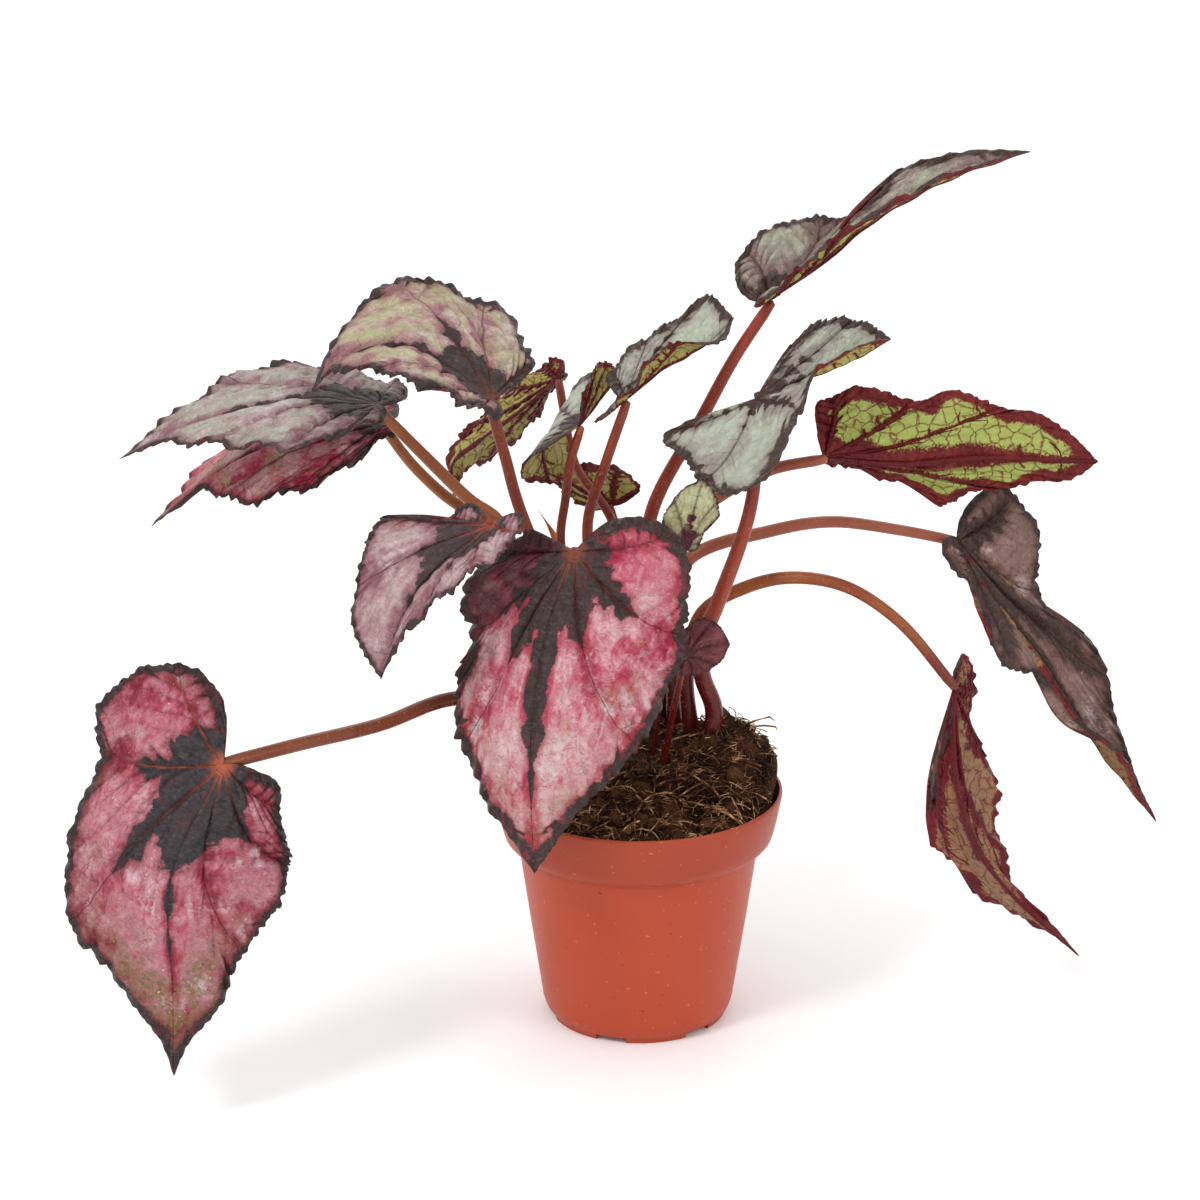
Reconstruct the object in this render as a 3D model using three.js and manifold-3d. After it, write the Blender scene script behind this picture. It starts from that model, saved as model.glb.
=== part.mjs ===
// Potted rex begonia in a 12 cm nursery pot. Millimetres, +Z up.
// Origin: centre of the pot's underside. +X to the right, +Y away from the side shown as the front.
import * as THREE from 'three';
import { mergeVertices } from 'three/addons/utils/BufferGeometryUtils.js';
import Module from 'manifold-3d';

const wasm = await Module();
wasm.setup();
const { Manifold, Mesh: SolidMesh } = wasm;

// ---- pot -------------------------------------------------------------------------------------
const POT_HEIGHT = 100;
const RIM_RADIUS = 60;          // outer radius at the mouth
const SEAM_HEIGHT = 76;         // where the rim band is tucked in to the body
const SEAM_RADIUS = 50.8;       // outer radius of the tucked edge of the band
const BODY_TOP_RADIUS = 50;     // outer radius right under the rim band
const BODY_FOOT_RADIUS = 40.4;  // outer radius above the rounded bottom edge
const FOOT_HEIGHT = 10;         // height of the rounded bottom edge
const BASE_RADIUS = 37;         // radius of the ring the pot stands on
const WALL = 1.4;
const FLOOR = 2;
const POT_SEGMENTS = 48;
const DRAIN_HOLES = 6;
const DRAIN_RADIUS = 3.5;
const DRAIN_CIRCLE = 24;        // radius of the ring of drain holes
const DRAIN_SIDES = 16;
const NOTCHES = 6;
const NOTCH_START = 12;         // bearing of the first notch in degrees
const NOTCH_WIDTH = 13;
const NOTCH_HEIGHT = 2.4;
const NOTCH_INNER = 31;         // the notches reach in to this radius
const GAP = 0.46;               // clearance between neighbouring pieces

// ---- soil and crown ----------------------------------------------------------------------------
const SOIL_BASE = 96;           // height of the soil at the front of the rim
const SOIL_SIDE = 57;           // radius of the soil at the rim
const MOUND = { x: 41, y: 5, height: 25, spread: 17 };
const SWELL = { x: 2, y: 8, height: 14, spread: 25 };
const SOIL_RINGS = 9;
const SOIL_SEGMENTS = 36;
const SOIL_EDGE = [0.98, 1.2];  // shares of the radius over which the mound runs out to the rim
const LUMP = 1.3;               // height of the clods on the soil
const LUMP_RATES = [0.31, 0.27, 0.32, 0.33]; // waves of the clods, radians per mm
const CROWN = { x: 3, y: 15, z: 109, rx: 34, ry: 26, rz: 12 };
const CROWN_SEGMENTS = 18;
const CROWN_RINGS = 8;
const KNOB = { height: 0.05, across: 5, along: 6 };

// ---- leaves ----------------------------------------------------------------------------------
const BLADE = 0.9;              // thickness of a blade
// Shares of the length where widths are given: five in a small or plain half, nine in a wavy one.
const STATIONS = {
  5: [0.08, 0.25, 0.45, 0.65, 0.85],
  9: [0.05, 0.155, 0.26, 0.365, 0.47, 0.575, 0.68, 0.785, 0.89],
};
const LOBE_SHAPE = [[-0.75, 0.18], [-1, 0.5], [-0.55, 0.87]]; // basal lobe, shares of lobe and width
const FRILLS = 6;               // waves along half a margin
const RIBS = 7;                 // main veins in half a blade
const RIB_FOLD = 0.7;           // how deep the veins are sunk into the upper face
const RIB_STEP = 0.03;          // share of the midrib over which its direction is taken
const TOOTH_RATES = [97, 41];   // the two rhythms of the margin's teeth along half a margin
// Rings of a blade from the petiole's end outwards: share of the way to the margin, points per half.
const LARGE_RINGS = [[0.28, 7], [0.56, 14], [0.82, 28], [1, 28]];
const SMALL_RINGS = [[0.4, 7], [0.75, 14], [1, 14]];
const LARGE_BLADE = 50;         // blades longer than this get the finer rings
const SHARPEST = 0.6;           // limit of the thickening along sharp folds
const PETIOLE_SIDES = 7;
const ROUND_RADIUS = 0.6;       // a stalk's rounded end: radius and length as shares of its radius
const ROUND_LENGTH = 0.4;
const STALK_CLEAR = 1.2;        // a stalk ends this many of its radii below its blade

// Each leaf: length of the blade, the midrib from petiole to tip, and its two halves (left and right
// as seen from above, looking from the petiole to the tip). A half has its basal lobe, its widths,
// the directions it spreads in along the midrib (bearing from +X towards +Z, tilt towards +Y, in
// degrees) and how far it curls over its width. Petiole: points from the crown, radius low and high.
// A leaf with a lobeShape has that outline on its basal lobes in place of the common one.
const LEAVES = {
  far_left: {
    length: 134, colour: 0xa0485a, frill: 2.2, tooth: 2.6,
    rib: [[-160, -112, 154], [-181, -118, 110], [-182, -120, 62], [-183, -118, 25]],
    left: {
      lobe: 4, widths: [31, 40, 46, 49, 48, 39, 25, 21, 7],
      spread: [[-35, 15], [0, 15], [5, 10]], curl: 15,
    },
    right: {
      lobe: 29, widths: [56, 46, 46, 45, 45, 41, 29, 16, 5],
      spread: [[155, 12], [178, 12], [180, 10]], curl: 15,
    },
    stalk: [[-20, 6, 114], [-44, -14, 143], [-76, -38, 153], [-103, -64, 152], [-132, -90, 154]],
    thick: [3.2, 2.6], stalkColour: 0xa8663c,
  },
  front: {
    length: 136, colour: 0xb0506a, frill: 2.2, tooth: 2.6,
    rib: [[-26, -64, 224], [-37, -74, 194], [-43, -80, 152], [-42, -76, 93]],
    left: {
      lobe: 20, widths: [53, 58, 60, 59, 55, 48, 38, 22, 11],
      spread: [[-18, 12], [-5, 14], [0, 10]], curl: 10,
    },
    right: {
      lobe: 0, widths: [28, 40, 44, 34, 39, 37, 31, 22, 11],
      spread: [[165, 35], [175, 30], [180, 20]], curl: 10,
    },
    stalk: [[-4, 1, 114], [-10, -22, 165], [-20, -46, 204]],
    thick: [3, 2.6], stalkColour: 0x8c4132,
  },
  left_front: {
    length: 82, colour: 0xa07a84, frill: 1.6, tooth: 2.2,
    rib: [[-58, -58, 233], [-78, -68, 219], [-90, -76, 205], [-101, -84, 178]],
    left: {
      lobe: 14, widths: [24, 23, 22, 21, 20, 17, 12, 7, 3],
      spread: [[-40, -78], [-50, -80], [-60, -78]], curl: 10,
    },
    right: {
      lobe: 1, widths: [14, 14, 24, 31, 30, 27, 23, 20, 12],
      spread: [[135, 10], [142, 15], [165, 10]], curl: 10,
    },
    stalk: [[-12, 3, 114], [-26, -13, 165], [-48, -30, 209]],
    thick: [2.8, 2.3], stalkColour: 0x8c4132,
  },
  upper_left: {
    length: 92, colour: 0xa79a94, frill: 1.8, tooth: 2.2,
    rib: [[-59, -20, 273], [-76, -28, 288], [-92, -38, 299], [-115, -50, 298], [-127, -56, 287]],
    left: {
      lobe: 6, widths: [17, 23, 23, 27, 30, 25, 19, 15, 6],
      spread: [[-60, -80], [-85, -82], [-92, -82]], curl: 8,
    },
    right: {
      lobe: 3, widths: [38, 48, 47, 43, 42, 42, 45, 36, 20],
      spread: [[25, 55], [45, 55], [62, 55], [82, 55]], curl: 10,
    },
    stalk: [[-14, 12, 114], [-30, 4, 170], [-49, -6, 225], [-54, -12, 247]],
    thick: [2.9, 2.2], stalkColour: 0x8c4132,
  },
  left_upper: {
    length: 114, colour: 0x9c8a90, frill: 1.8, tooth: 2.4,
    rib: [[-103, -30, 273], [-129, -42, 279], [-152, -52, 278], [-176, -60, 273], [-201, -66, 262]],
    left: {
      lobe: 4, widths: [19, 32, 39, 38, 35, 27, 21, 10, 3],
      spread: [[-80, -82], [-90, -82], [-100, -80]], curl: 8,
    },
    right: {
      lobe: 12, widths: [36, 42, 40, 38, 41, 40, 27, 18, 9],
      spread: [[80, 84], [95, 78], [110, 75]], curl: 8,
    },
    stalk: [[-22, 15, 114], [-40, 8, 168], [-57, -4, 217], [-68, -8, 227], [-86, -18, 249]],
    thick: [3.3, 2.2], stalkColour: 0xa8663c,
  },
  left_under: {
    length: 110, colour: 0x9a4a58, frill: 1.8, tooth: 2.4,
    rib: [[-102, -12, 260], [-131, -24, 259], [-151, -32, 255], [-173, -42, 244], [-192, -48, 229]],
    left: {
      lobe: 5, widths: [10, 20, 25, 29, 28, 25, 15, 2, 3],
      spread: [[-55, -60], [-80, -62], [-90, -80]], curl: 8,
    },
    right: {
      lobe: 6, widths: [30, 34, 34, 33, 32, 32, 34, 30, 10],
      spread: [[95, 84], [95, 84], [95, 84]], curl: 8,
    },
    stalk: [[-20, 24, 114], [-42, 18, 168], [-61, 10, 208], [-81, -1, 229], [-92, -5, 242]],
    thick: [3, 2.1], stalkColour: 0xa8663c,
  },
  back_left: {
    length: 78, colour: 0x7a3a38, frill: 1.2, tooth: 1.8,
    rib: [[-33, 45, 263], [-51, 55, 245], [-67, 66, 230], [-79, 76, 216], [-78, 80, 199]],
    left: { lobe: 6, widths: [14, 17, 16, 12, 5], spread: [[125, 60], [125, 68], [130, 60]], curl: 5 },
    right: { lobe: 4, widths: [12, 20, 22, 20, 8], spread: [[-51, 72], [-51, 55], [-51, 40]], curl: 5 },
    stalk: [[-3, 29, 116], [-4, 30, 165], [-11, 34, 205], [-26, 40, 227], [-31, 44, 250]],
    thick: [2.1, 1.8], stalkColour: 0x8c4132,
  },
  small_fold: {
    length: 38, colour: 0xa6a294, frill: 1, tooth: 1.6,
    rib: [[-24, -6, 258], [-16, 6, 265], [-8, 18, 273]],
    left: { lobe: 20, widths: [44, 44, 40, 30, 12], spread: [[175, 20], [165, 20], [150, 20]], curl: 150 },
    right: { lobe: 0, widths: [18, 19, 17, 13, 7], spread: [[85, 20], [90, 20], [100, 20]], curl: 10 },
    stalk: [[-11, 21, 116], [-26, 14, 165], [-32, 4, 207], [-30, 0, 225], [-28, -3, 241]],
    thick: [2, 1.8], stalkColour: 0x8c4132,
  },
  centre_top: {
    length: 61, colour: 0xaaa79a, frill: 1, tooth: 1.6,
    rib: [[-6, -8, 269], [10, -2, 281], [26, 6, 288], [38, 14, 297]],
    left: { lobe: 2, widths: [18, 20, 19, 20, 21], spread: [[135, 50], [120, 50], [110, 50]], curl: 5 },
    right: { lobe: 16, widths: [14, 18, 15, 11, 8], spread: [[100, -68], [112, -46], [-60, -60]], curl: 0 },
    stalk: [[-5, 10, 115], [-14, 4, 165], [-21, -2, 215], [-14, -5, 241]],
    thick: [2.6, 2], stalkColour: 0x8c4132,
  },
  right_centre: {
    length: 66, colour: 0xaaa79e, frill: 1.2, tooth: 1.8,
    rib: [[46, -10, 270], [72, -6, 280], [86, 0, 284], [101, 8, 290]],
    lobeShape: [[-1, -0.03], [-0.68, 0.42], [-0.3, 0.9]],
    left: { lobe: 0, widths: [3, 15, 22, 20, 11], spread: [[100, 35], [95, 35], [90, 35]], curl: 5 },
    right: {
      lobe: 41, widths: [39, 21, 12, 14, 9],
      spread: [[-106, -38], [-70, -75], [120, -60], [120, -50], [120, -50]], curl: 30,
    },
    stalk: [[30, 2, 116], [31, 1, 134], [26, -2, 150], [26, -8, 168], [31, -14, 184], [43, -18, 222],
      [46, -17, 242]],
    thick: [4, 2.2], stalkColour: 0x963c2d,
  },
  top_right: {
    length: 130, colour: 0x9d9192, frill: 1.4, tooth: 2,
    rib: [[52, 12, 305], [75, 18, 320], [92, 22, 334], [124, 32, 350], [158, 38, 360]],
    left: {
      lobe: 10, widths: [31, 30, 21, 11, 10, 16, 13, 11, 6],
      spread: [[120, 50], [116, 50], [120, 50], [120, 50], [110, 50]], curl: 0,
    },
    right: {
      lobe: 8, widths: [18, 18, 16, 12, 7],
      spread: [[95, -66], [115, -60], [95, -69], [95, -69], [95, -69]], curl: 0,
    },
    stalk: [[6, 20, 118], [3, 20, 165], [5, 18, 213], [25, 16, 254], [38, 14, 280]],
    thick: [3.4, 2.3], stalkColour: 0x963c2d,
  },
  right: {
    length: 115, colour: 0x5e2b2c, frill: 1.6, tooth: 2.2,
    rib: [[75, 6, 241], [106, 10, 237], [140, 16, 238], [188, 20, 235]],
    left: {
      lobe: 2, widths: [14, 13, 17, 21, 24, 16, 17, 11, 11],
      spread: [[-90, 66], [-89, 52], [-88, 20], [-88, 20], [-88, 20]], curl: 5,
    },
    right: {
      lobe: 2, widths: [26, 32, 30, 26, 29, 25, 20, 19, 12],
      spread: [[98, 15], [92, 15], [90, 15]], curl: 5,
    },
    stalk: [[15, 20, 119], [15, 18, 170], [21, 13, 212], [33, 11, 223], [53, 8, 235]],
    thick: [3, 2.3], stalkColour: 0xa55f50,
  },
  right_hanging: {
    length: 144, colour: 0x6f5250, frill: 1.8, tooth: 2.2,
    rib: [[133, 38, 195], [150, 36, 169], [171, 32, 143], [192, 28, 110], [220, 24, 74]],
    left: {
      lobe: 8, widths: [33, 33, 20, 15, 22, 22, 14, 9, 4],
      spread: [[46, 10], [43, 12], [48, 15], [30, 10], [30, 10]], curl: 5,
    },
    right: {
      lobe: 6, widths: [15, 10, 26, 21, 5, 3, 14, 15, 7],
      spread: [[212, -60], [212, -66], [215, -50], [60, -60], [40, -50]], curl: 0,
    },
    stalk: [[13, 29, 119], [12, 29, 165], [21, 29, 190], [55, 33, 201], [80, 36, 204], [109, 37, 200]],
    thick: [3.2, 2.2], stalkColour: 0xa55f50,
  },
  right_folded: {
    length: 130, colour: 0x6b3a30, frill: 1.6, tooth: 2.2,
    rib: [[128, -18, 151], [129, -20, 117], [132, -20, 100], [139, -22, 81], [155, -26, 61], [182, -34, 38]],
    left: {
      lobe: 0, widths: [1, 2, 8, 14, 24, 32, 26, 30, 5],
      spread: [[190, 58], [190, 58], [200, 58]], curl: 5,
    },
    right: {
      lobe: 12, widths: [18, 17, 23, 32, 26, 19, 8, 5, 4],
      spread: [[0, 58], [0, 58], [20, 58]], curl: 5,
    },
    stalk: [[22, 11, 119], [20, 8, 150], [26, 4, 175], [43, -2, 188], [61, -7, 194], [83, -12, 192],
      [105, -15, 178]],
    thick: [3.2, 2.1], stalkColour: 0xa8663c,
  },
  young_pale: {
    length: 30, colour: 0xb7b89a, frill: 0.8, tooth: 1.2,
    rib: [[18, -37, 217], [21, -35, 231], [25, -29, 243]],
    left: { lobe: 2, widths: [8, 11, 12, 10, 7], spread: [[178, 0], [178, 0]], curl: 5 },
    right: { lobe: 2, widths: [6, 7, 11, 9, 5], spread: [[0, 0], [0, 0]], curl: 5 },
    stalk: [[5, -4, 112], [12, -18, 165]],
    thick: [0.9, 0.8], stalkColour: 0x4a3a22,
  },
  young_behind: {
    length: 38, colour: 0x7a3a38, frill: 0.8, tooth: 1.2,
    rib: [[-11, 46, 208], [-26, 52, 214], [-41, 58, 224]],
    left: { lobe: 3, widths: [16, 17, 14, 9, 5], spread: [[35, 10], [60, 45], [75, 45]], curl: 5 },
    right: { lobe: 2, widths: [8, 10, 9, 7, 4], spread: [[235, 40], [235, 40]], curl: 5 },
    stalk: [[3, 33, 118], [1, 38, 165]],
    thick: [1.3, 1.1], stalkColour: 0x8c4132,
  },
  young_dark: {
    length: 20, colour: 0x5a2a34, frill: 0.5, tooth: 0.8,
    rib: [[18, -36, 171], [26, -40, 176], [36, -42, 178]],
    left: { lobe: 4, widths: [12, 13, 13, 11, 7], spread: [[92, 0], [92, 0]], curl: 5 },
    right: { lobe: 4, widths: [10, 12, 12, 11, 7], spread: [[-88, 10], [-88, 10]], curl: 5 },
    stalk: [[10, -6, 112], [14, -20, 142]],
    thick: [1.6, 1.2], stalkColour: 0x8c4132,
  },
};

// Orange pointed stipule standing behind the front leaf.
const BUD = { stalk: [[-8, 28, 116], [-24, 20, 170], [-34, 12, 204], [-41, 8, 218]], thick: [1.6, 0.5] };

const COLOURS = { pot: 0xc4573b, soil: 0x2c1d15, crown: 0x5c2a22, bud: 0xc8783c };
const ROUGHNESS = { blade: 0.5, stalk: 0.45, pot: 0.4, soil: 0.95, crown: 0.6 };
const SEED_STEP = 1.7;          // shifts the waves and teeth of each leaf against the one before

// ---- helpers ---------------------------------------------------------------------------------
function vec(p) {
  return new THREE.Vector3(p[0], p[1], p[2] ?? 0);
}

function curveThrough(points) {
  return new THREE.CatmullRomCurve3(points.map(vec), false, 'centripetal');
}

// Unit vector from a bearing in the upright X-Z plane (degrees) and a tilt towards +Y (degrees).
function pointing([bearing, tilt]) {
  const b = THREE.MathUtils.degToRad(bearing);
  const d = THREE.MathUtils.degToRad(tilt);
  return new THREE.Vector3(Math.cos(b) * Math.cos(d), Math.sin(d), Math.sin(b) * Math.cos(d));
}

function bodyFrom(positions, triangles) {
  const geometry = new THREE.BufferGeometry();
  geometry.setAttribute('position', new THREE.Float32BufferAttribute(positions, 3));
  geometry.setIndex(triangles);
  geometry.computeVertexNormals();
  return geometry;
}

// Closed solid for cutting: seams welded and collapsed triangles left out.
function solid(source) {
  const bare = source.clone();
  bare.deleteAttribute('normal');
  bare.deleteAttribute('uv');
  const welded = mergeVertices(bare, 1e-4);
  const kept = [];
  for (let i = 0; i < welded.index.count; i += 3) {
    const [a, b, c] = [0, 1, 2].map((k) => welded.index.getX(i + k));
    if (a !== b && b !== c && c !== a) kept.push(a, b, c);
  }
  return new Manifold(new SolidMesh({
    numProp: 3,
    vertProperties: new Float32Array(welded.attributes.position.array),
    triVerts: new Uint32Array(kept),
  }));
}

function geometryOf(body) {
  const out = body.getMesh();
  return bodyFrom(Array.from(out.vertProperties), Array.from(out.triVerts));
}

// Tube with rounded ends along a path; the radius runs evenly from the first value to the second.
function stem(points, thick, grow, steps) {
  const path = curveThrough(points);
  const frames = path.computeFrenetFrames(steps, false);
  const positions = [];
  const triangles = [];
  const ring = (centre, k, radius) => {
    for (let j = 0; j < PETIOLE_SIDES; j += 1) {
      const a = (j / PETIOLE_SIDES) * Math.PI * 2;
      const p = centre.clone()
        .addScaledVector(frames.normals[k], Math.cos(a) * radius)
        .addScaledVector(frames.binormals[k], Math.sin(a) * radius);
      positions.push(p.x, p.y, p.z);
    }
  };
  const low = thick[0] + grow;
  const high = thick[1] + grow;
  const start = path.getPointAt(0);
  const end = path.getPointAt(1);
  start.addScaledVector(frames.tangents[0], -ROUND_LENGTH * thick[0] - grow);
  end.addScaledVector(frames.tangents[steps], ROUND_LENGTH * high);
  ring(start, 0, low * ROUND_RADIUS);
  for (let k = 0; k <= steps; k += 1) ring(path.getPointAt(k / steps), k, low + (high - low) * (k / steps));
  ring(end, steps, high * ROUND_RADIUS);
  const rings = steps + 3;
  for (let k = 0; k + 1 < rings; k += 1) {
    for (let j = 0; j < PETIOLE_SIDES; j += 1) {
      const a = k * PETIOLE_SIDES + j;
      const b = k * PETIOLE_SIDES + ((j + 1) % PETIOLE_SIDES);
      triangles.push(a, b, b + PETIOLE_SIDES, a, b + PETIOLE_SIDES, a + PETIOLE_SIDES);
    }
  }
  const last = (rings - 1) * PETIOLE_SIDES;
  for (let j = 1; j + 1 < PETIOLE_SIDES; j += 1) {
    triangles.push(0, j + 1, j, last, last + j, last + j + 1);
  }
  return bodyFrom(positions, triangles);
}

// ---- blade -----------------------------------------------------------------------------------
// Half a margin in the flat leaf: from the petiole round the basal lobe, over the widths, to the tip.
function halfMargin(leaf, half) {
  const points = [[0, 0]];
  const shape = leaf.lobeShape ?? LOBE_SHAPE;
  for (const [x, y] of shape) points.push([x * half.lobe, y * half.widths[0]]);
  const stations = STATIONS[half.widths.length];
  half.widths.forEach((w, i) => points.push([stations[i] * leaf.length, w]));
  points.push([leaf.length, 0]);
  return curveThrough(points);
}

// From the flat half blade to its place on the plant. x runs along the midrib, y out to the side.
function placed(leaf, half, rib, side, x, y, lift) {
  const u = THREE.MathUtils.clamp(x / leaf.length, 0, 1);
  const behind = rib.getPointAt(Math.max(u - RIB_STEP, 0));
  const along = rib.getPointAt(Math.min(u + RIB_STEP, 1)).sub(behind).normalize();
  const centre = rib.getPointAt(u).addScaledVector(along, Math.min(x, 0));
  const k = u * (half.spread.length - 1);
  const i = Math.min(Math.floor(k), half.spread.length - 2);
  const mix = THREE.MathUtils.smoothstep(k - i, 0, 1);
  const out = pointing(half.spread[i]).lerp(pointing(half.spread[i + 1]), mix).normalize();
  const upper = along.clone().cross(out).multiplyScalar(side).normalize();
  const bend = Math.max(THREE.MathUtils.degToRad(half.curl), 1e-3) / Math.max(...half.widths);
  return centre
    .addScaledVector(out, Math.sin(bend * y) / bend)
    .addScaledVector(upper, lift - (1 - Math.cos(bend * y)) / bend);
}

// Small irregular teeth: share of the tooth depth cut away at a place along the margin.
function toothCut(s, seed) {
  return 0.5 + 0.5 * Math.sin(TOOTH_RATES[0] * s + seed) * Math.cos(TOOTH_RATES[1] * s * s + 2 * seed);
}

// Blade as one closed sheet. Both faces share the same triangles; rings grow from the petiole's end.
function blade(leaf, seed) {
  const rib = curveThrough(leaf.rib);
  const rings = leaf.length > LARGE_BLADE ? LARGE_RINGS : SMALL_RINGS;
  const mid = [rib.getPointAt(0)];
  // Every ring is put in order from the petiole along the left margin to the tip and back on the right.
  const loops = rings.map(([share, count]) => {
    const loop = [];
    for (let j = 1; j < 2 * count; j += 1) {
      const side = j <= count ? 1 : -1;
      const s = side > 0 ? j / count : (2 * count - j) / count;
      const half = side > 0 ? leaf.left : leaf.right;
      const at = halfMargin(leaf, half).getPointAt(s);
      const ends = Math.sin(Math.PI * s);
      const cut = (leaf.tooth * toothCut(s, seed) * ends * share ** 4) / Math.max(at.length(), 1);
      const frill = leaf.frill * share ** 3 * ends * Math.sin(2 * Math.PI * FRILLS * s + seed);
      const fold = RIB_FOLD * Math.cos(2 * Math.PI * RIBS * s) * Math.sin(Math.PI * share);
      const reach = share * (1 - cut);
      loop.push(mid.length);
      mid.push(placed(leaf, half, rib, side, at.x * reach, at.y * reach, frill - fold));
    }
    return loop;
  });
  const sheet = [];
  for (let j = 0; j + 1 < loops[0].length; j += 1) sheet.push([0, loops[0][j], loops[0][j + 1]]);
  for (let r = 0; r + 1 < loops.length; r += 1) {
    const inner = [0, ...loops[r], 0];
    const outer = [0, ...loops[r + 1], 0];
    const ratio = (outer.length - 1) / (inner.length - 1);
    for (let a = 0; a + 1 < inner.length; a += 1) {
      const from = a * ratio;
      const turn = (a + 0.5) * ratio;
      for (let b = from; b < from + ratio; b += 1) {
        const apex = b < turn ? inner[a] : inner[a + 1];
        if (outer[b] !== apex && outer[b + 1] !== apex) sheet.push([apex, outer[b], outer[b + 1]]);
      }
      const pivot = outer[Math.ceil(turn)];
      if (inner[a] !== pivot && inner[a + 1] !== pivot) sheet.push([inner[a], pivot, inner[a + 1]]);
    }
  }
  // Directions of the upper side; along a fold the faces are set further apart to keep their thickness.
  const normals = mid.map(() => new THREE.Vector3());
  const faceNormals = sheet.map(([a, b, c]) => {
    const n = mid[c].clone().sub(mid[a]).cross(mid[b].clone().sub(mid[a]));
    for (const v of [a, b, c]) normals[v].add(n);
    return n.clone().normalize();
  });
  normals.forEach((n) => n.normalize());
  const sharpest = mid.map(() => 1);
  sheet.forEach((tri, f) => {
    for (const v of tri) sharpest[v] = Math.min(sharpest[v], faceNormals[f].dot(normals[v]));
  });
  const positions = [];
  for (const sign of [1, -1]) {
    mid.forEach((p, v) => {
      const q = p.clone().addScaledVector(normals[v], (sign * BLADE) / 2 / Math.max(sharpest[v], SHARPEST));
      positions.push(q.x, q.y, q.z);
    });
  }
  const n = mid.length;
  const triangles = [];
  for (const [a, b, c] of sheet) triangles.push(a, c, b, a + n, b + n, c + n);
  const rim = [0, ...loops[loops.length - 1], 0];
  for (let j = 0; j + 1 < rim.length; j += 1) {
    const [a, b] = [rim[j], rim[j + 1]];
    triangles.push(a, b, b + n, a, b + n, a + n);
  }
  return { geometry: bodyFrom(positions, triangles), upper: normals[0], foot: mid[0] };
}

// ---- pot -------------------------------------------------------------------------------------
function lathe(profile, segments) {
  const turned = new THREE.LatheGeometry(profile.map(([r, z]) => new THREE.Vector2(r, z)), segments);
  turned.rotateX(Math.PI / 2);
  return turned;
}

// Outside of the pot from the underside up to the mouth, as [radius, height].
const OUTSIDE = [
  [BASE_RADIUS, 0],
  [BASE_RADIUS + 0.5, NOTCH_HEIGHT],
  [BODY_FOOT_RADIUS - 1.2, FOOT_HEIGHT / 2],
  [BODY_FOOT_RADIUS, FOOT_HEIGHT],
  [BODY_TOP_RADIUS, SEAM_HEIGHT - 0.6],
  [SEAM_RADIUS, SEAM_HEIGHT],
  [SEAM_RADIUS + 3.4, SEAM_HEIGHT + 2.4],
  [RIM_RADIUS - 3.7, SEAM_HEIGHT + 5.6],
  [RIM_RADIUS - 2.4, SEAM_HEIGHT + 11],
  [RIM_RADIUS - 0.2, POT_HEIGHT - 0.8],
];

// The wall's line moved inwards by a distance, square to the wall.
function inset(line, distance) {
  return line.map(([r, z], i) => {
    const [a, b] = [line[Math.max(i - 1, 0)], line[Math.min(i + 1, line.length - 1)]];
    const [dr, dz] = [b[0] - a[0], b[1] - a[1]];
    const long = Math.hypot(dr, dz);
    return [r - (distance * dz) / long, z + (distance * dr) / long];
  });
}

function potSolid() {
  const inside = inset(OUTSIDE.slice(2), WALL);
  const profile = [
    [0, 0],
    ...OUTSIDE,
    [RIM_RADIUS - 0.6, POT_HEIGHT],
    [RIM_RADIUS - WALL, POT_HEIGHT],
    ...inside.reverse(),
    [BASE_RADIUS - 1, FLOOR + NOTCH_HEIGHT],
    [0, FLOOR + NOTCH_HEIGHT],
  ];
  let pot = solid(lathe(profile, POT_SEGMENTS));
  for (let i = 0; i < DRAIN_HOLES; i += 1) {
    const a = (i / DRAIN_HOLES) * 360;
    const hole = Manifold.cylinder(FLOOR * 5, DRAIN_RADIUS, DRAIN_RADIUS, DRAIN_SIDES)
      .translate([DRAIN_CIRCLE, 0, -FLOOR])
      .rotate([0, 0, a]);
    pot = pot.subtract(hole);
  }
  for (let i = 0; i < NOTCHES; i += 1) {
    const a = NOTCH_START + (i / NOTCHES) * 360;
    const bite = Manifold.cube([FOOT_HEIGHT * 2, NOTCH_WIDTH, NOTCH_HEIGHT * 2], true)
      .translate([NOTCH_INNER + FOOT_HEIGHT, 0, 0])
      .rotate([0, 0, a]);
    pot = pot.subtract(bite);
  }
  return pot;
}

// ---- soil ------------------------------------------------------------------------------------
function hill(place, x, y) {
  const far = (x - place.x) ** 2 + (y - place.y) ** 2;
  return place.height * Math.exp(-far / (2 * place.spread ** 2));
}

function soilHeight(x, y) {
  const r = Math.hypot(x, y) / SOIL_SIDE;
  const edge = 1 - THREE.MathUtils.smoothstep(r, ...SOIL_EDGE);
  const [a, b, c, d] = LUMP_RATES;
  const lumps = LUMP * (Math.sin(a * x) * Math.cos(b * y) + Math.sin(c * x + d * y));
  return SOIL_BASE + (hill(MOUND, x, y) + hill(SWELL, x, y) + lumps) * edge;
}

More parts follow.
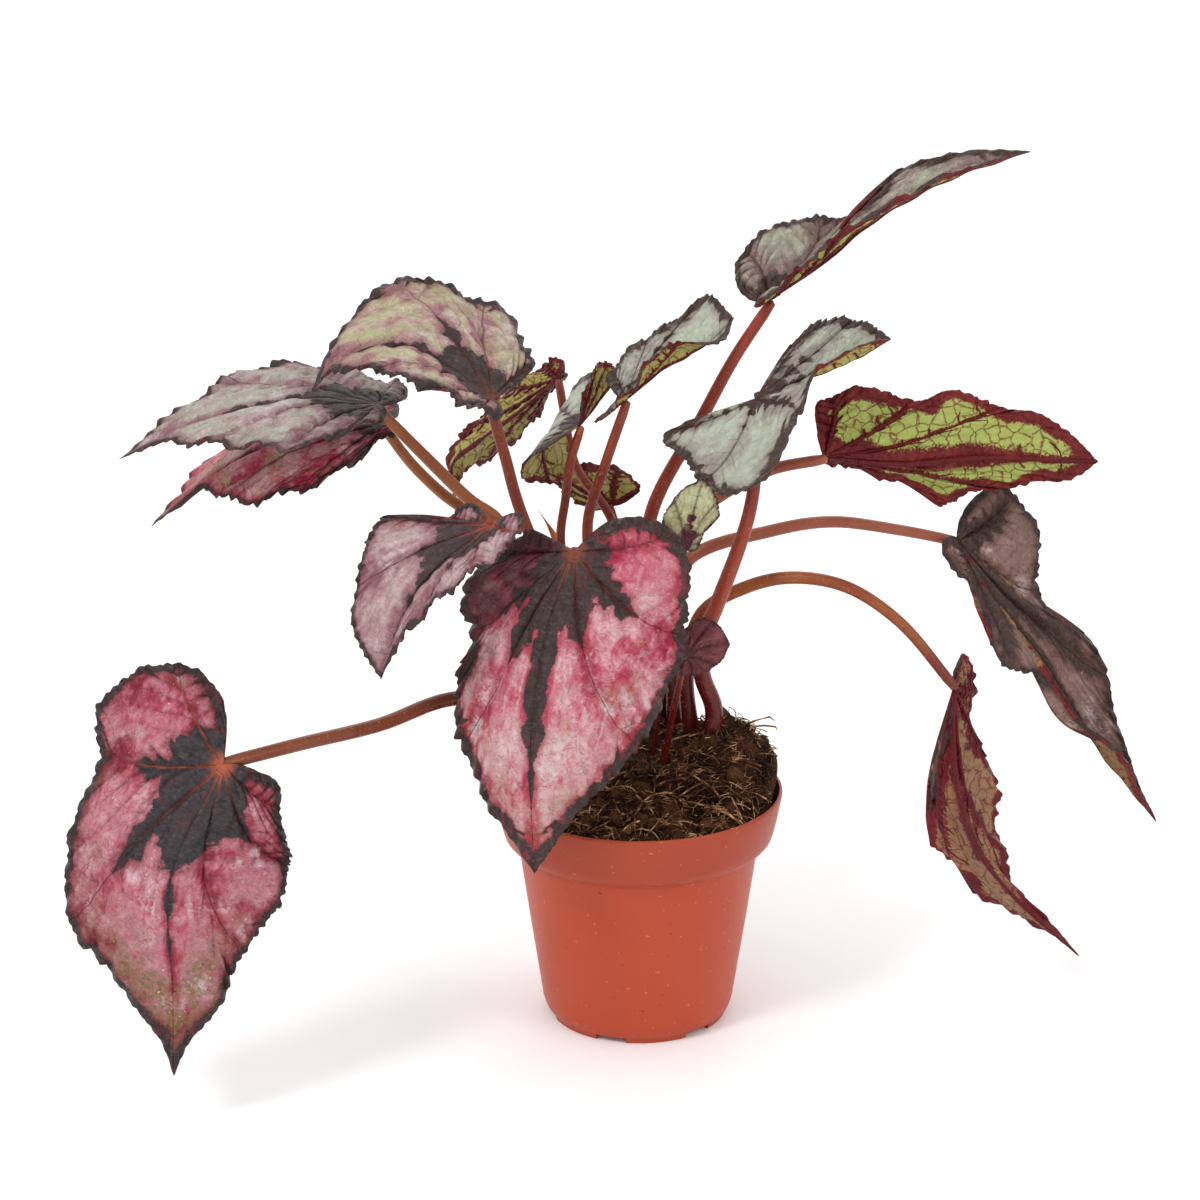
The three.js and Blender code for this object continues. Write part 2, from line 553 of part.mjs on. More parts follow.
function soilSolid() {
  const positions = [];
  const triangles = [];
  const push = (x, y, z) => positions.push(x, y, z) / 3 - 1;
  const centreTop = push(0, 0, soilHeight(0, 0));
  const rows = [];
  const around = (radius, level) => {
    const row = [];
    for (let j = 0; j < SOIL_SEGMENTS; j += 1) {
      const a = (j / SOIL_SEGMENTS) * Math.PI * 2;
      const [x, y] = [radius * Math.cos(a), radius * Math.sin(a)];
      row.push(push(x, y, level(x, y)));
    }
    rows.push(row);
  };
  for (let i = 1; i <= SOIL_RINGS; i += 1) around((SOIL_SIDE * i) / SOIL_RINGS, soilHeight);
  const side = inset(OUTSIDE.slice(2, -1), WALL + 2 * GAP).reverse();
  for (const [radius, z] of side) around(radius, () => z);
  const low = FLOOR + NOTCH_HEIGHT + GAP;
  around(BASE_RADIUS - 3, () => low);
  const centreLow = push(0, 0, low);
  for (let j = 0; j < SOIL_SEGMENTS; j += 1) {
    const next = (j + 1) % SOIL_SEGMENTS;
    triangles.push(centreTop, rows[0][j], rows[0][next]);
    for (let i = 0; i + 1 < rows.length; i += 1) {
      triangles.push(rows[i][j], rows[i + 1][j], rows[i + 1][next]);
      triangles.push(rows[i][j], rows[i + 1][next], rows[i][next]);
    }
    const last = rows[rows.length - 1];
    triangles.push(centreLow, last[next], last[j]);
  }
  return solid(bodyFrom(positions, triangles));
}

// Woody rhizome, a flat knobbly cushion that the petioles stand in.
function crownShape(grow) {
  const ball = new THREE.SphereGeometry(1, CROWN_SEGMENTS, CROWN_RINGS);
  ball.rotateX(Math.PI / 2);
  const p = ball.attributes.position;
  for (let i = 0; i < p.count; i += 1) {
    const [x, y, z] = [p.getX(i), p.getY(i), p.getZ(i)];
    const knob = 1 + KNOB.height * Math.sin(KNOB.across * x) * Math.cos(KNOB.along * y);
    p.setXYZ(
      i,
      CROWN.x + x * knob * (CROWN.rx + grow),
      CROWN.y + y * knob * (CROWN.ry + grow),
      CROWN.z + z * knob * (CROWN.rz + grow),
    );
  }
  return solid(ball);
}

// ---- assembly --------------------------------------------------------------------------------
const plant = new THREE.Group();
plant.name = 'potted_rex_begonia';

function add(name, geometry, colour, roughness) {
  const mesh = new THREE.Mesh(geometry, new THREE.MeshStandardMaterial({ color: colour, roughness }));
  mesh.name = name;
  mesh.material.name = name;
  plant.add(mesh);
}

const stalks = [];
Object.entries(LEAVES).forEach(([name, leaf], index) => {
  const made = blade(leaf, index * SEED_STEP);
  add(`leaf_${name}`, made.geometry, leaf.colour, ROUGHNESS.blade);
  const clear = BLADE / 2 + GAP + STALK_CLEAR * leaf.thick[1];
  const end = made.foot.clone().addScaledVector(made.upper, -clear);
  const points = [...leaf.stalk, end.toArray()];
  stalks.push({ name: `petiole_${name}`, points, thick: leaf.thick, colour: leaf.stalkColour });
});
stalks.push({ name: 'bud', points: BUD.stalk, thick: BUD.thick, colour: COLOURS.bud });

let crown = crownShape(0);
let soil = soilSolid().subtract(crownShape(GAP));
for (const stalk of stalks) {
  const steps = stalk.points.length * 2 + 1;
  add(stalk.name, stem(stalk.points, stalk.thick, 0, steps), stalk.colour, ROUGHNESS.stalk);
  const hole = solid(stem(stalk.points, stalk.thick, GAP, steps));
  crown = crown.subtract(hole);
  soil = soil.subtract(hole);
}
add('crown', geometryOf(crown), COLOURS.crown, ROUGHNESS.crown);
add('soil', geometryOf(soil), COLOURS.soil, ROUGHNESS.soil);
add('pot', geometryOf(potSolid()), COLOURS.pot, ROUGHNESS.pot);

export default plant;
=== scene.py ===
import bpy
import bmesh
import numpy as np
from math import radians, pi, sin, cos
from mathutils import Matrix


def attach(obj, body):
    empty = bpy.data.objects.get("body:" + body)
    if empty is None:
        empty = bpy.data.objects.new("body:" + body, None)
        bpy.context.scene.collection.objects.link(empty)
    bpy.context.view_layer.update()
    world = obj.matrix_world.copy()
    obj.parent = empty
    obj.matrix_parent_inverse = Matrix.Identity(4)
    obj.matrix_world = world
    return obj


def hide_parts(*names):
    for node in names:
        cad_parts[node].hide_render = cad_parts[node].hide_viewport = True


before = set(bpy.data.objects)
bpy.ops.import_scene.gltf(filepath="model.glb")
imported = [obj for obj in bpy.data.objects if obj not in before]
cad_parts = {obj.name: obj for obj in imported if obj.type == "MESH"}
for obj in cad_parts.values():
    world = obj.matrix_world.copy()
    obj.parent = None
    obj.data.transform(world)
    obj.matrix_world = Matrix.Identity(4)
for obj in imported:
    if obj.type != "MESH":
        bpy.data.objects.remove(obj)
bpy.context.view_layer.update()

from types import SimpleNamespace
from mathutils import Matrix, Vector

# Studio: a plain pale floor and background with broad soft lamps from the upper left.
# The camera looks slightly down at the plant from the front, level with the middle of its leaves.
MM = 0.001
CAMERA_TILT = radians(19)
CAMERA_DISTANCE = 1500
CAMERA_TARGET = np.array([-16.0, 0.0, 182.0])
LENS, SENSOR, FARTHEST = 110.2, 36, 50
FLOOR_HALF = 12000
LAMPS = {  # place, what it is aimed at, width of its disc in metres, watts
    "key": ((-1.0, -1.1, 1.7), (0, 0, 0.18), 0.5, 14),
    "fill": ((1.5, -1.2, 0.9), (0, 0, 0.15), 0.6, 5),
    "rim_light": ((0.3, 1.6, 1.3), (0, 0, 0.2), 1.0, 4),
}


def new_object(name, data):
    made = bpy.data.objects.new(name, data)
    bpy.context.scene.collection.objects.link(made)
    return made


camera_data = bpy.data.cameras.new("camera")
camera_data.lens = LENS
camera_data.sensor_width = SENSOR
camera_data.clip_end = FARTHEST
camera = new_object("camera", camera_data)
back = np.array([0.0, -cos(CAMERA_TILT), sin(CAMERA_TILT)])
camera.location = (CAMERA_TARGET + CAMERA_DISTANCE * back) * MM
camera.rotation_euler = (radians(90) - CAMERA_TILT, 0, 0)
bpy.context.scene.camera = camera
bpy.context.scene.view_settings.view_transform = "Standard"


class Wire:
    """The output of a node. Sums of wires and numbers make the Math nodes for them."""

    def __init__(self, socket):
        self.socket = socket
        self.tree = socket.id_data

    def __add__(self, other):
        return maths("ADD", self, other)

    def __sub__(self, other):
        return maths("SUBTRACT", self, other)

    def __rsub__(self, other):
        return maths("SUBTRACT", other, self)

    def __mul__(self, other):
        return maths("MULTIPLY", self, other)

    def __truediv__(self, other):
        return maths("DIVIDE", self, other)

    def __pow__(self, other):
        return maths("POWER", self, other)

    def __abs__(self):
        return maths("ABSOLUTE", self)


def connect(value, socket):
    """A wire is linked to the socket, and anything else becomes its value."""
    if isinstance(value, Wire):
        value.tree.links.new(value.socket, socket)
    else:
        socket.default_value = value


def wire(tree, kind, inputs=None, output=0, **settings):
    """A new node with its settings and inputs; returns one output of it."""
    made = tree.nodes.new(kind)
    for key, value in settings.items():
        setattr(made, key, value)
    for key, value in (inputs or {}).items():
        connect(value, made.inputs[key])
    return Wire(made.outputs[output])


def maths(operation, *values):
    """A Math node, in the tree that its wires come from."""
    tree = next(v.tree for v in values if isinstance(v, Wire))
    return wire(tree, "ShaderNodeMath", dict(enumerate(values)), operation=operation)


def colour_value(value):
    """A colour given on a screen's scale, 0 to 255, as the shader wants it. Other values pass through."""
    if not isinstance(value, tuple):
        return value
    shares = [c / 255 for c in value]
    return tuple(c / 12.92 if c <= 0.04045 else ((c + 0.055) / 1.055) ** 2.4 for c in shares) + (1.0,)


def blend(share, a, b):
    """Colour a where the share is 0, colour b where it is 1."""
    return wire(share.tree, "ShaderNodeMix", {0: share, 6: colour_value(a), 7: colour_value(b)}, 2,
                data_type="RGBA")


def vector(operation, *values, scale=None):
    inputs = dict(enumerate(values))
    if scale is not None:
        inputs[3] = scale
    output = "Value" if operation == "LENGTH" else 0
    return wire(values[0].tree, "ShaderNodeVectorMath", inputs, output, operation=operation)


def noise(where, scale, detail=3.0, rough=0.55, stretch=None, twist=0.0):
    """Noise from 0 to 1, with scale features to one unit of where."""
    if stretch:
        where = vector("MULTIPLY", where, stretch)
    return wire(where.tree, "ShaderNodeTexNoise", {
        "Vector": where, "Scale": scale, "Detail": detail, "Roughness": rough, "Distortion": twist})


def material(name, roughness, **sockets):
    """A material with a Principled shader; returns both."""
    made = bpy.data.materials.new(name)
    made.use_nodes = True
    shader = made.node_tree.nodes["Principled BSDF"]
    shader.inputs["Roughness"].default_value = roughness
    for key, value in sockets.items():
        shader.inputs[key.replace("_", " ")].default_value = value
    return made, shader


def coordinates(place):
    """The object's own coordinates, in metres, in the tree of this shader or group."""
    return wire(place.id_data, "ShaderNodeTexCoord", output="Object")


def piece(name, verts, faces, materials, slots=None):
    """A smooth mesh object from points in millimetres."""
    mesh = bpy.data.meshes.new(name)
    mesh.from_pydata((np.asarray(verts) * MM).tolist(), [], faces)
    for each in materials:
        mesh.materials.append(each)
    if slots is not None:
        mesh.polygons.foreach_set("material_index", slots)
    mesh.polygons.foreach_set("use_smooth", [True] * len(mesh.polygons))
    mesh.update()
    return new_object(name, mesh)


floor_stuff, shader = material("studio_floor", 0.9)
connect(blend(noise(coordinates(shader), 3), (250, 250, 250), (254, 254, 254)), shader.inputs["Base Color"])
corners = [(x * FLOOR_HALF, y * FLOOR_HALF, 0) for x, y in ((-1, -1), (1, -1), (1, 1), (-1, 1))]
floor = piece("floor", corners, [(0, 1, 2, 3)], [floor_stuff])

world = bpy.data.worlds.new("studio")
bpy.context.scene.world = world
world.use_nodes = True
world.node_tree.nodes["Background"].inputs["Color"].default_value = (1, 1, 1, 1)
world.node_tree.nodes["Background"].inputs["Strength"].default_value = 1.0
for name, (place, aim, size, watts) in LAMPS.items():
    data = bpy.data.lights.new(name, "AREA")
    data.shape = "DISK"
    data.size = size
    data.energy = watts
    lamp = new_object(name, data)
    lamp.location = place
    lamp.rotation_euler = (Vector(aim) - Vector(place)).to_track_quat("-Z", "Y").to_euler()

# Pot: one moulded nursery pot in terracotta-coloured polypropylene with a rolled rim band. It stands on
# the ring of its base, which has shallow notches and drain holes, and carries the soil.
POT_HEIGHT = 100
RIM_RADIUS = 60
SEAM_HEIGHT = 76
SEAM_RADIUS = 50.8
BODY_TOP_RADIUS = 50
BODY_FOOT_RADIUS = 40.4
FOOT_HEIGHT = 10
BASE_RADIUS = 37
WALL = 1.4
POT_SEGMENTS = 180
NOTCHES = 6
NOTCH_START = 12                # bearing of the first notch in degrees
NOTCH_BOX = (20, 13, 4.8)       # what is cut away there: length, width, height
NOTCH_MIDDLE = 41
NOTCH_HEIGHT = 2.4
FLOOR_TOP = NOTCH_HEIGHT + 2
DRAIN_RADIUS = 3.5
DRAIN_CIRCLE = 24
DRAIN_TURN = 0.2                # angle from a notch to the drain hole next to it
DRAIN_DEPTH = 20
DRAIN_SIDES = 32
SHARP = radians(40)             # edges bent more than this stay crisp
profile = [
    (BASE_RADIUS - 0.4, 0), (BASE_RADIUS, 0.3), (BASE_RADIUS + 0.5, NOTCH_HEIGHT),
    (BODY_FOOT_RADIUS - 1.9, 3.4), (BODY_FOOT_RADIUS - 1.0, 5.4), (BODY_FOOT_RADIUS - 0.3, 7.8),
    (BODY_FOOT_RADIUS, FOOT_HEIGHT), (BODY_FOOT_RADIUS + 4.8, 42),
    (BODY_TOP_RADIUS - 0.15, SEAM_HEIGHT - 1.4), (BODY_TOP_RADIUS, SEAM_HEIGHT - 0.5),
    (SEAM_RADIUS, SEAM_HEIGHT), (SEAM_RADIUS + 1.6, SEAM_HEIGHT + 0.9),
    (SEAM_RADIUS + 3.4, SEAM_HEIGHT + 2.4), (SEAM_RADIUS + 4.9, SEAM_HEIGHT + 4.2),
    (RIM_RADIUS - 3.6, SEAM_HEIGHT + 6.2), (RIM_RADIUS - 3.0, SEAM_HEIGHT + 8.6),
    (RIM_RADIUS - 2.4, SEAM_HEIGHT + 11), (RIM_RADIUS - 1.2, SEAM_HEIGHT + 17.5),
    (RIM_RADIUS - 0.2, POT_HEIGHT - 1.2), (RIM_RADIUS - 0.25, POT_HEIGHT - 0.5),
    (RIM_RADIUS - 0.6, POT_HEIGHT), (RIM_RADIUS - WALL, POT_HEIGHT),
    (RIM_RADIUS - WALL - 0.2, POT_HEIGHT - 0.5),
    # down the inside to the floor
    (RIM_RADIUS - 2.6, SEAM_HEIGHT + 17), (RIM_RADIUS - 4.0, SEAM_HEIGHT + 10.6),
    (SEAM_RADIUS + 2.6, SEAM_HEIGHT + 4), (BODY_TOP_RADIUS - 1.3, SEAM_HEIGHT + 0.6),
    (BODY_FOOT_RADIUS - 1.2, FOOT_HEIGHT), (BASE_RADIUS - 1, FLOOR_TOP),
]


def turns(count):
    """Angles evenly round a circle."""
    return np.linspace(0, 2 * pi, count, endpoint=False)


def ring(radius, z, count):
    a = turns(count)
    return np.column_stack([radius * np.cos(a), radius * np.sin(a), np.full(count, float(z))])


def ring_faces(rows, sides, flip=False):
    """Faces over rows of ring points, closed by the two points that come after them."""
    faces = []
    for k in range(rows - 1):
        for j in range(sides):
            i = (j + 1) % sides
            faces.append((k * sides + j, k * sides + i, (k + 1) * sides + i, (k + 1) * sides + j))
    first, last, end = rows * sides, rows * sides + 1, (rows - 1) * sides
    for j in range(sides):
        i = (j + 1) % sides
        faces += [(first, i, j), (last, end + j, end + i)]
    return [(f[0],) + f[:0:-1] for f in faces] if flip else faces


def span(value, low, high, to_low=0.0, to_high=1.0):
    """Smooth step of a value from low to high."""
    return wire(value.tree, "ShaderNodeMapRange", {
        "Value": value, "From Min": low, "From Max": high, "To Min": to_low, "To Max": to_high},
        interpolation_type="SMOOTHSTEP")


def axes(where):
    """The three axes of a vector."""
    return [wire(where.tree, "ShaderNodeSeparateXYZ", {0: where}, k) for k in range(3)]


def paint(shader, colour, roughness=None, height=None, depth=0.0, strength=1.0):
    """Joins a pattern to its material: the colour, and the roughness and relief where they are given."""
    connect(colour, shader.inputs["Base Color"])
    if roughness is not None:
        connect(roughness, shader.inputs["Roughness"])
    if height is not None:
        relief = wire(height.tree, "ShaderNodeBump", {
            "Height": height, "Distance": depth, "Strength": strength})
        connect(relief, shader.inputs["Normal"])


plastic, shader = material("terracotta_plastic", 0.42, Specular_IOR_Level=0.28)
where = coordinates(shader)
cloud, grain = noise(where, 22, 4), noise(where, 900, 2)
colour = blend(cloud, (164, 61, 35), (178, 71, 43))
# painted shade: the rim band above the seam is painted darker for the shadow that the leaves and soil cast on
# it
band = span(axes(where)[2], SEAM_HEIGHT * MM, (SEAM_HEIGHT + 3) * MM, 0.0, 0.45)
colour = blend(band, colour, (136, 52, 32))
specks = span(noise(where, 520, 1, 0.3), 0.735, 0.76)
colour = blend(specks * 0.5, colour, (206, 122, 88))
dust = span(noise(where, 350, 2, 0.3, (1.0, 1.0, 1.7)), 0.755, 0.785)
colour = blend(dust * 0.75, colour, (92, 42, 30))
streaks = span(noise(where, 90, 3, 0.6, (1.0, 1.0, 0.06)), 0.6, 0.8)
paint(shader, colour, streaks * 0.1 + (cloud * 0.14 + 0.34), grain * 0.4 + streaks * 0.3, 0.00012, 0.5)
verts = np.vstack([ring(radius, z, POT_SEGMENTS) for radius, z in profile] + [[(0, 0, 0), (0, 0, FLOOR_TOP)]])
pot = piece("pot_shell", verts, ring_faces(len(profile), POT_SEGMENTS), [plastic])

cutter = bmesh.new()
for i in range(NOTCHES):
    a = radians(NOTCH_START + 360 / NOTCHES * i)
    notch = bmesh.ops.create_cube(cutter, size=1)["verts"]
    for v in notch:
        v.co = (v.co * Vector(NOTCH_BOX) + Vector((NOTCH_MIDDLE, 0, 0))) * MM
    bmesh.ops.rotate(cutter, verts=notch, matrix=Matrix.Rotation(a, 3, "Z"))
    hole = bmesh.ops.create_cone(cutter, cap_ends=True, segments=DRAIN_SIDES, radius1=DRAIN_RADIUS * MM,
                                 radius2=DRAIN_RADIUS * MM, depth=DRAIN_DEPTH * MM)["verts"]
    for v in hole:
        v.co += Vector((cos(a + DRAIN_TURN), sin(a + DRAIN_TURN), 0)) * DRAIN_CIRCLE * MM
cutter_mesh = bpy.data.meshes.new("pot_cuts")
cutter.to_mesh(cutter_mesh)
cutter.free()
cutter_object = new_object("pot_cuts", cutter_mesh)


def bake_modifiers(thing):
    """The object's modifiers become its plain mesh."""
    bpy.context.view_layer.update()
    final = bpy.data.meshes.new_from_object(thing.evaluated_get(bpy.context.evaluated_depsgraph_get()))
    thing.modifiers.clear()
    thing.data = final


cut = pot.modifiers.new("cut", "BOOLEAN")
cut.object = cutter_object
cut.operation = "DIFFERENCE"
cut.solver = "EXACT"
bake_modifiers(pot)
bpy.data.objects.remove(cutter_object)
pot.data.set_sharp_from_angle(angle=SHARP)
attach(pot, "root")
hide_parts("pot")

# Soil: dark peat with crumbs and pale coir fibres, filled to the rim at the front and heaped up at the
# back right around the crown. It lies loose in the pot.
SOIL_SIDE = 57
SOIL_BASE = 96
SOIL_TUCK = 0.6                 # the soil goes this far out under the rim and down in the pot
MOUND = dict(x=41, y=5, height=25, spread=17)
SWELL = dict(x=2, y=8, height=14, spread=25)
SOIL_EDGE = (0.98, 1.2)         # shares of the radius over which the mound runs out to the rim
SOIL_RINGS, SOIL_ROUND = 90, 260
CLODS = ((13.0, 2.8), (7.0, 2.6), (3.8, 1.8), (2.0, 0.9))  # width and height of each grade
CLOD_SUPPLY = 2600              # a grade has this number over its width
CLOD_FIELD = 58
CALM_EDGE = (55, 57.6)          # the clods flatten out between these radii
SKIRT = (52, 80)                # radius and height where the soil ends inside the pot
POT_INSIDE = 57.8               # nothing strewn on the soil reaches past this radius
DICE_SEED, TIP_SEED, SIZE_SEED = 12, 21, 5
FULL_TURN = 6.283


def smoothstep(value, low, high):
    t = np.clip((value - low) / (high - low), 0, 1)
    return t * t * (3 - 2 * t)


def heap(place, x, y):
    away = (x - place["x"]) ** 2 + (y - place["y"]) ** 2
    return place["height"] * np.exp(-away / (2 * place["spread"] ** 2))


def soil_height(x, y):
    edge = 1 - smoothstep(np.hypot(x, y) / SOIL_SIDE, *SOIL_EDGE)
    return SOIL_BASE + (heap(MOUND, x, y) + heap(SWELL, x, y)) * edge


dice = np.random.default_rng(DICE_SEED)
radius = np.linspace(0, 1, SOIL_RINGS)[1:] * (SOIL_SIDE + SOIL_TUCK)
gx = np.outer(radius, np.cos(turns(SOIL_ROUND)))
gy = np.outer(radius, np.sin(turns(SOIL_ROUND)))
clods = np.zeros_like(gx)
for size, high in CLODS:
    for _ in range(int(CLOD_SUPPLY / size)):
        cx, cy = dice.uniform(-CLOD_FIELD, CLOD_FIELD, 2)
        wide = size * dice.uniform(0.5, 1.0)
        far = ((gx - cx) ** 2 + (gy - cy) ** 2) / wide ** 2
        near = far < 1
        lift = high * dice.uniform(-0.6, 1.0) * (1 - far[near]) ** 0.6
        old = clods[near]
        clods[near] = np.where(np.abs(lift) > np.abs(old) * 0.4, old * 0.5 + lift, old)
flat_edge = smoothstep(np.hypot(gx, gy), *CALM_EDGE)
gz = soil_height(gx, gy) + clods * (1 - flat_edge * 0.8) - SOIL_TUCK
top = np.vstack([(0, 0, soil_height(0, 0)), np.column_stack([gx.ravel(), gy.ravel(), gz.ravel()])])
verts = np.vstack([top, ring(*SKIRT, SOIL_ROUND)])
faces = []
for j in range(SOIL_ROUND):
    k = (j + 1) % SOIL_ROUND
    faces.append((0, 1 + j, 1 + k))
    for i in range(SOIL_RINGS - 1):
        a, b = 1 + i * SOIL_ROUND, 1 + (i + 1) * SOIL_ROUND
        faces.append((a + j, b + j, b + k, a + k))

peat, shader = material("peat", 0.95, Specular_IOR_Level=0.12)
where = coordinates(shader)
crumb = noise(where, 480, 4, 0.7)
matted = noise(where, 700, 3, 0.6, None, 2.5)
colour = blend(span(noise(where, 90, 4), 0.4, 0.62), (10, 5, 3), (66, 39, 24))
colour = blend(span(matted, 0.52, 0.66), colour, (110, 73, 46))
colour = blend(span(noise(where, 1100, 2), 0.68, 0.76), colour, (144, 104, 74))
paint(shader, colour, None, crumb + matted * 0.6, 0.0016)
soil = piece("soil_heap", verts, faces, [peat])

fibre_stuff, shader = material("coir_fibre", 0.75, Specular_IOR_Level=0.2)
tint = noise(coordinates(shader), 210, 2)
colour = blend(span(tint, 0.32, 0.58), (40, 22, 13), (130, 86, 54))
paint(shader, blend(span(tint, 0.53, 0.62), colour, (196, 154, 110)))

clump_stuff, shader = material("matted_peat", 0.95, Specular_IOR_Level=0.1)
matted = noise(coordinates(shader), 800, 4, 0.7, None, 2.5)
colour = blend(span(matted, 0.36, 0.62), (50, 30, 19), (116, 76, 50))
paint(shader, blend(span(matted, 0.6, 0.7), colour, (152, 112, 78)), None, matted, 0.0014)

SOCKET_KINDS = {type(None): "NodeSocketGeometry", float: "NodeSocketFloat", int: "NodeSocketInt",
                tuple: "NodeSocketColor"}


def group(kind, name, inputs, results):
    """A node group. Its inputs are named with their values, its results with an example of theirs."""
    made = bpy.data.node_groups.new(name, kind)
    for label, value in inputs.items():
        socket = made.interface.new_socket(label, in_out="INPUT", socket_type=SOCKET_KINDS[type(value)])
        if value is not None:
            socket.default_value = colour_value(value)
    for label, value in results.items():
        made.interface.new_socket(label, in_out="OUTPUT", socket_type=SOCKET_KINDS[type(value)])
    given = {each.name: Wire(each) for each in made.nodes.new("NodeGroupInput").outputs if each.name}
    return made, given, made.nodes.new("NodeGroupOutput").inputs


def drawn(tree, seed, low, high):
    """A number or a vector drawn anew for every point."""
    if isinstance(low, tuple):
        inputs, output, kind = {"Seed": seed, 0: low, 1: high}, 0, "FLOAT_VECTOR"
    else:
        inputs, output, kind = {"Seed": seed, 2: low, 3: high}, 1, "FLOAT"
    return wire(tree, "FunctionNodeRandomValue", inputs, output, data_type=kind)


def joined(*values):
    """A vector from its two or three axes."""
    tree = next(v.tree for v in values if isinstance(v, Wire))
    return wire(tree, "ShaderNodeCombineXYZ", dict(enumerate(values)))


def strewn(given, shape, sizes, lean, stuff, out):
    """Strews a shape over the given surface in tufts, turned at random and ruffled, as real geometry."""
    tree = shape.tree
    place = wire(tree, "GeometryNodeInputPosition")
    level = vector("MULTIPLY", place, (1, 1, 0))
    far = vector("LENGTH", level)
    tufts = span(noise(place, 85, 2), 0.42, 0.62, 0.06, 1.0)
    points = wire(tree, "GeometryNodeDistributePointsOnFaces", {
        "Mesh": given["Geometry"], "Seed": given["Seed"],
        "Density": given["Density"] * tufts * maths("LESS_THAN", far, given["Reach"])})
    turn = drawn(tree, given["Seed"], (0, 0, 0), (0, 0, FULL_TURN))
    tip = drawn(tree, TIP_SEED, (-lean, -lean, 0), (lean, lean, 0))
    spread = wire(tree, "GeometryNodeInstanceOnPoints", {
        "Points": points, "Instance": shape, "Rotation": vector("ADD", turn, tip),
        "Scale": drawn(tree, SIZE_SEED, *sizes)})
    real = wire(tree, "GeometryNodeRealizeInstances", {0: spread})
    ripple = wire(tree, "ShaderNodeTexNoise", {"Vector": place, "Scale": given["Ruffle"], "Detail": 1.0}, 1)
    shift = vector("SCALE", vector("SUBTRACT", ripple, (0.5, 0.5, 0.5)), scale=given["Shift"])
    moved = wire(tree, "GeometryNodeSetPosition", {"Geometry": real, "Offset": shift})
    # what would reach through the pot wall is pressed against it
    pull = maths("MINIMUM", maths("DIVIDE", POT_INSIDE * MM, far), 1.0) - 1.0
    inward = vector("SCALE", level, scale=pull)
    kept = wire(tree, "GeometryNodeSetPosition", {"Geometry": moved, "Offset": inward})
    connect(wire(tree, "GeometryNodeSetMaterial", {"Geometry": kept, "Material": stuff}), out["Geometry"])


STREWN = {"Geometry": None, "Density": 90000.0, "Reach": 0.056, "Seed": 4, "Ruffle": 160.0, "Shift": 0.006}


def fibres_tree():
    """Bent thin fibres strewn over a surface, partly sunk into it."""
    tree, given, out = group("GeometryNodeTree", "strewn_fibres", {
        **STREWN, "Length": 0.012, "Radius": 0.00018, "Rise": 0.2}, {"Geometry": None})
    arc = wire(tree, "GeometryNodeCurveQuadraticBezier", {
        "Resolution": 7, "Start": (-0.5, 0, -0.05), "Middle": joined(0.0, 0.2, given["Rise"]),
        "End": (0.5, -0.1, 0.02)})
    size = given["Length"]
    arc = wire(tree, "GeometryNodeTransform", {"Geometry": arc, "Scale": joined(size, size, size)})
    section = wire(tree, "GeometryNodeCurvePrimitiveCircle", {"Resolution": 3, "Radius": given["Radius"]})
    strand = wire(tree, "GeometryNodeCurveToMesh", {"Curve": arc, "Profile Curve": section})
    strewn(given, strand, (0.3, 1.5), 0.35, fibre_stuff, out)
    return tree


def crumbs_tree():
    """Small lumps of peat lying on a surface."""
    tree, given, out = group("GeometryNodeTree", "strewn_crumbs", {**STREWN, "Radius": 0.0013},
                             {"Geometry": None})
    ball = wire(tree, "GeometryNodeMeshIcoSphere", {"Radius": given["Radius"], "Subdivisions": 2})
    ball = wire(tree, "GeometryNodeTransform", {"Geometry": ball, "Scale": (1.0, 0.8, 0.65)})
    strewn(given, ball, (0.4, 1.7), 0.9, peat, out)
    return tree


def grow(name, base, tree, stuff, **values):
    """A new piece made by a Geometry Nodes tree from a copy of a base mesh, as a plain mesh."""
    made = new_object(name, base.data.copy())
    rule = made.modifiers.new("rule", "NODES")
    rule.node_group = tree
    for item in tree.interface.items_tree:
        if item.item_type == "SOCKET" and item.in_out == "INPUT" and item.name in values:
            rule[item.identifier] = values[item.name]
    bake_modifiers(made)
    made.data.materials.clear()
    made.data.materials.append(stuff)
    return made


soil_top = piece("soil_top", top, [f for f in faces if max(f) < len(top)], [peat])
fibre_rule, crumb_rule = fibres_tree(), crumbs_tree()
fibres = grow("coir_fibres", soil_top, fibre_rule, fibre_stuff, Density=240000.0, Length=0.011,
              Radius=0.00019, Shift=0.002)
wisps = grow("coir_wisps", soil_top, fibre_rule, fibre_stuff, Density=26000.0, Length=0.02, Radius=0.0003,
             Rise=0.35, Seed=9, Reach=0.049, Shift=0.003)
crumbs = grow("peat_crumbs", soil_top, crumb_rule, peat, Density=110000.0, Ruffle=500.0, Shift=0.0016, Seed=2)
clumps = grow("peat_clumps", soil_top, crumb_rule, clump_stuff, Density=15000.0, Ruffle=330.0, Shift=0.005,
              Radius=0.0032, Seed=7, Reach=0.05)
bpy.data.objects.remove(soil_top)
for made in (soil, fibres, wisps, crumbs, clumps):
    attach(made, "root")
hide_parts("soil")

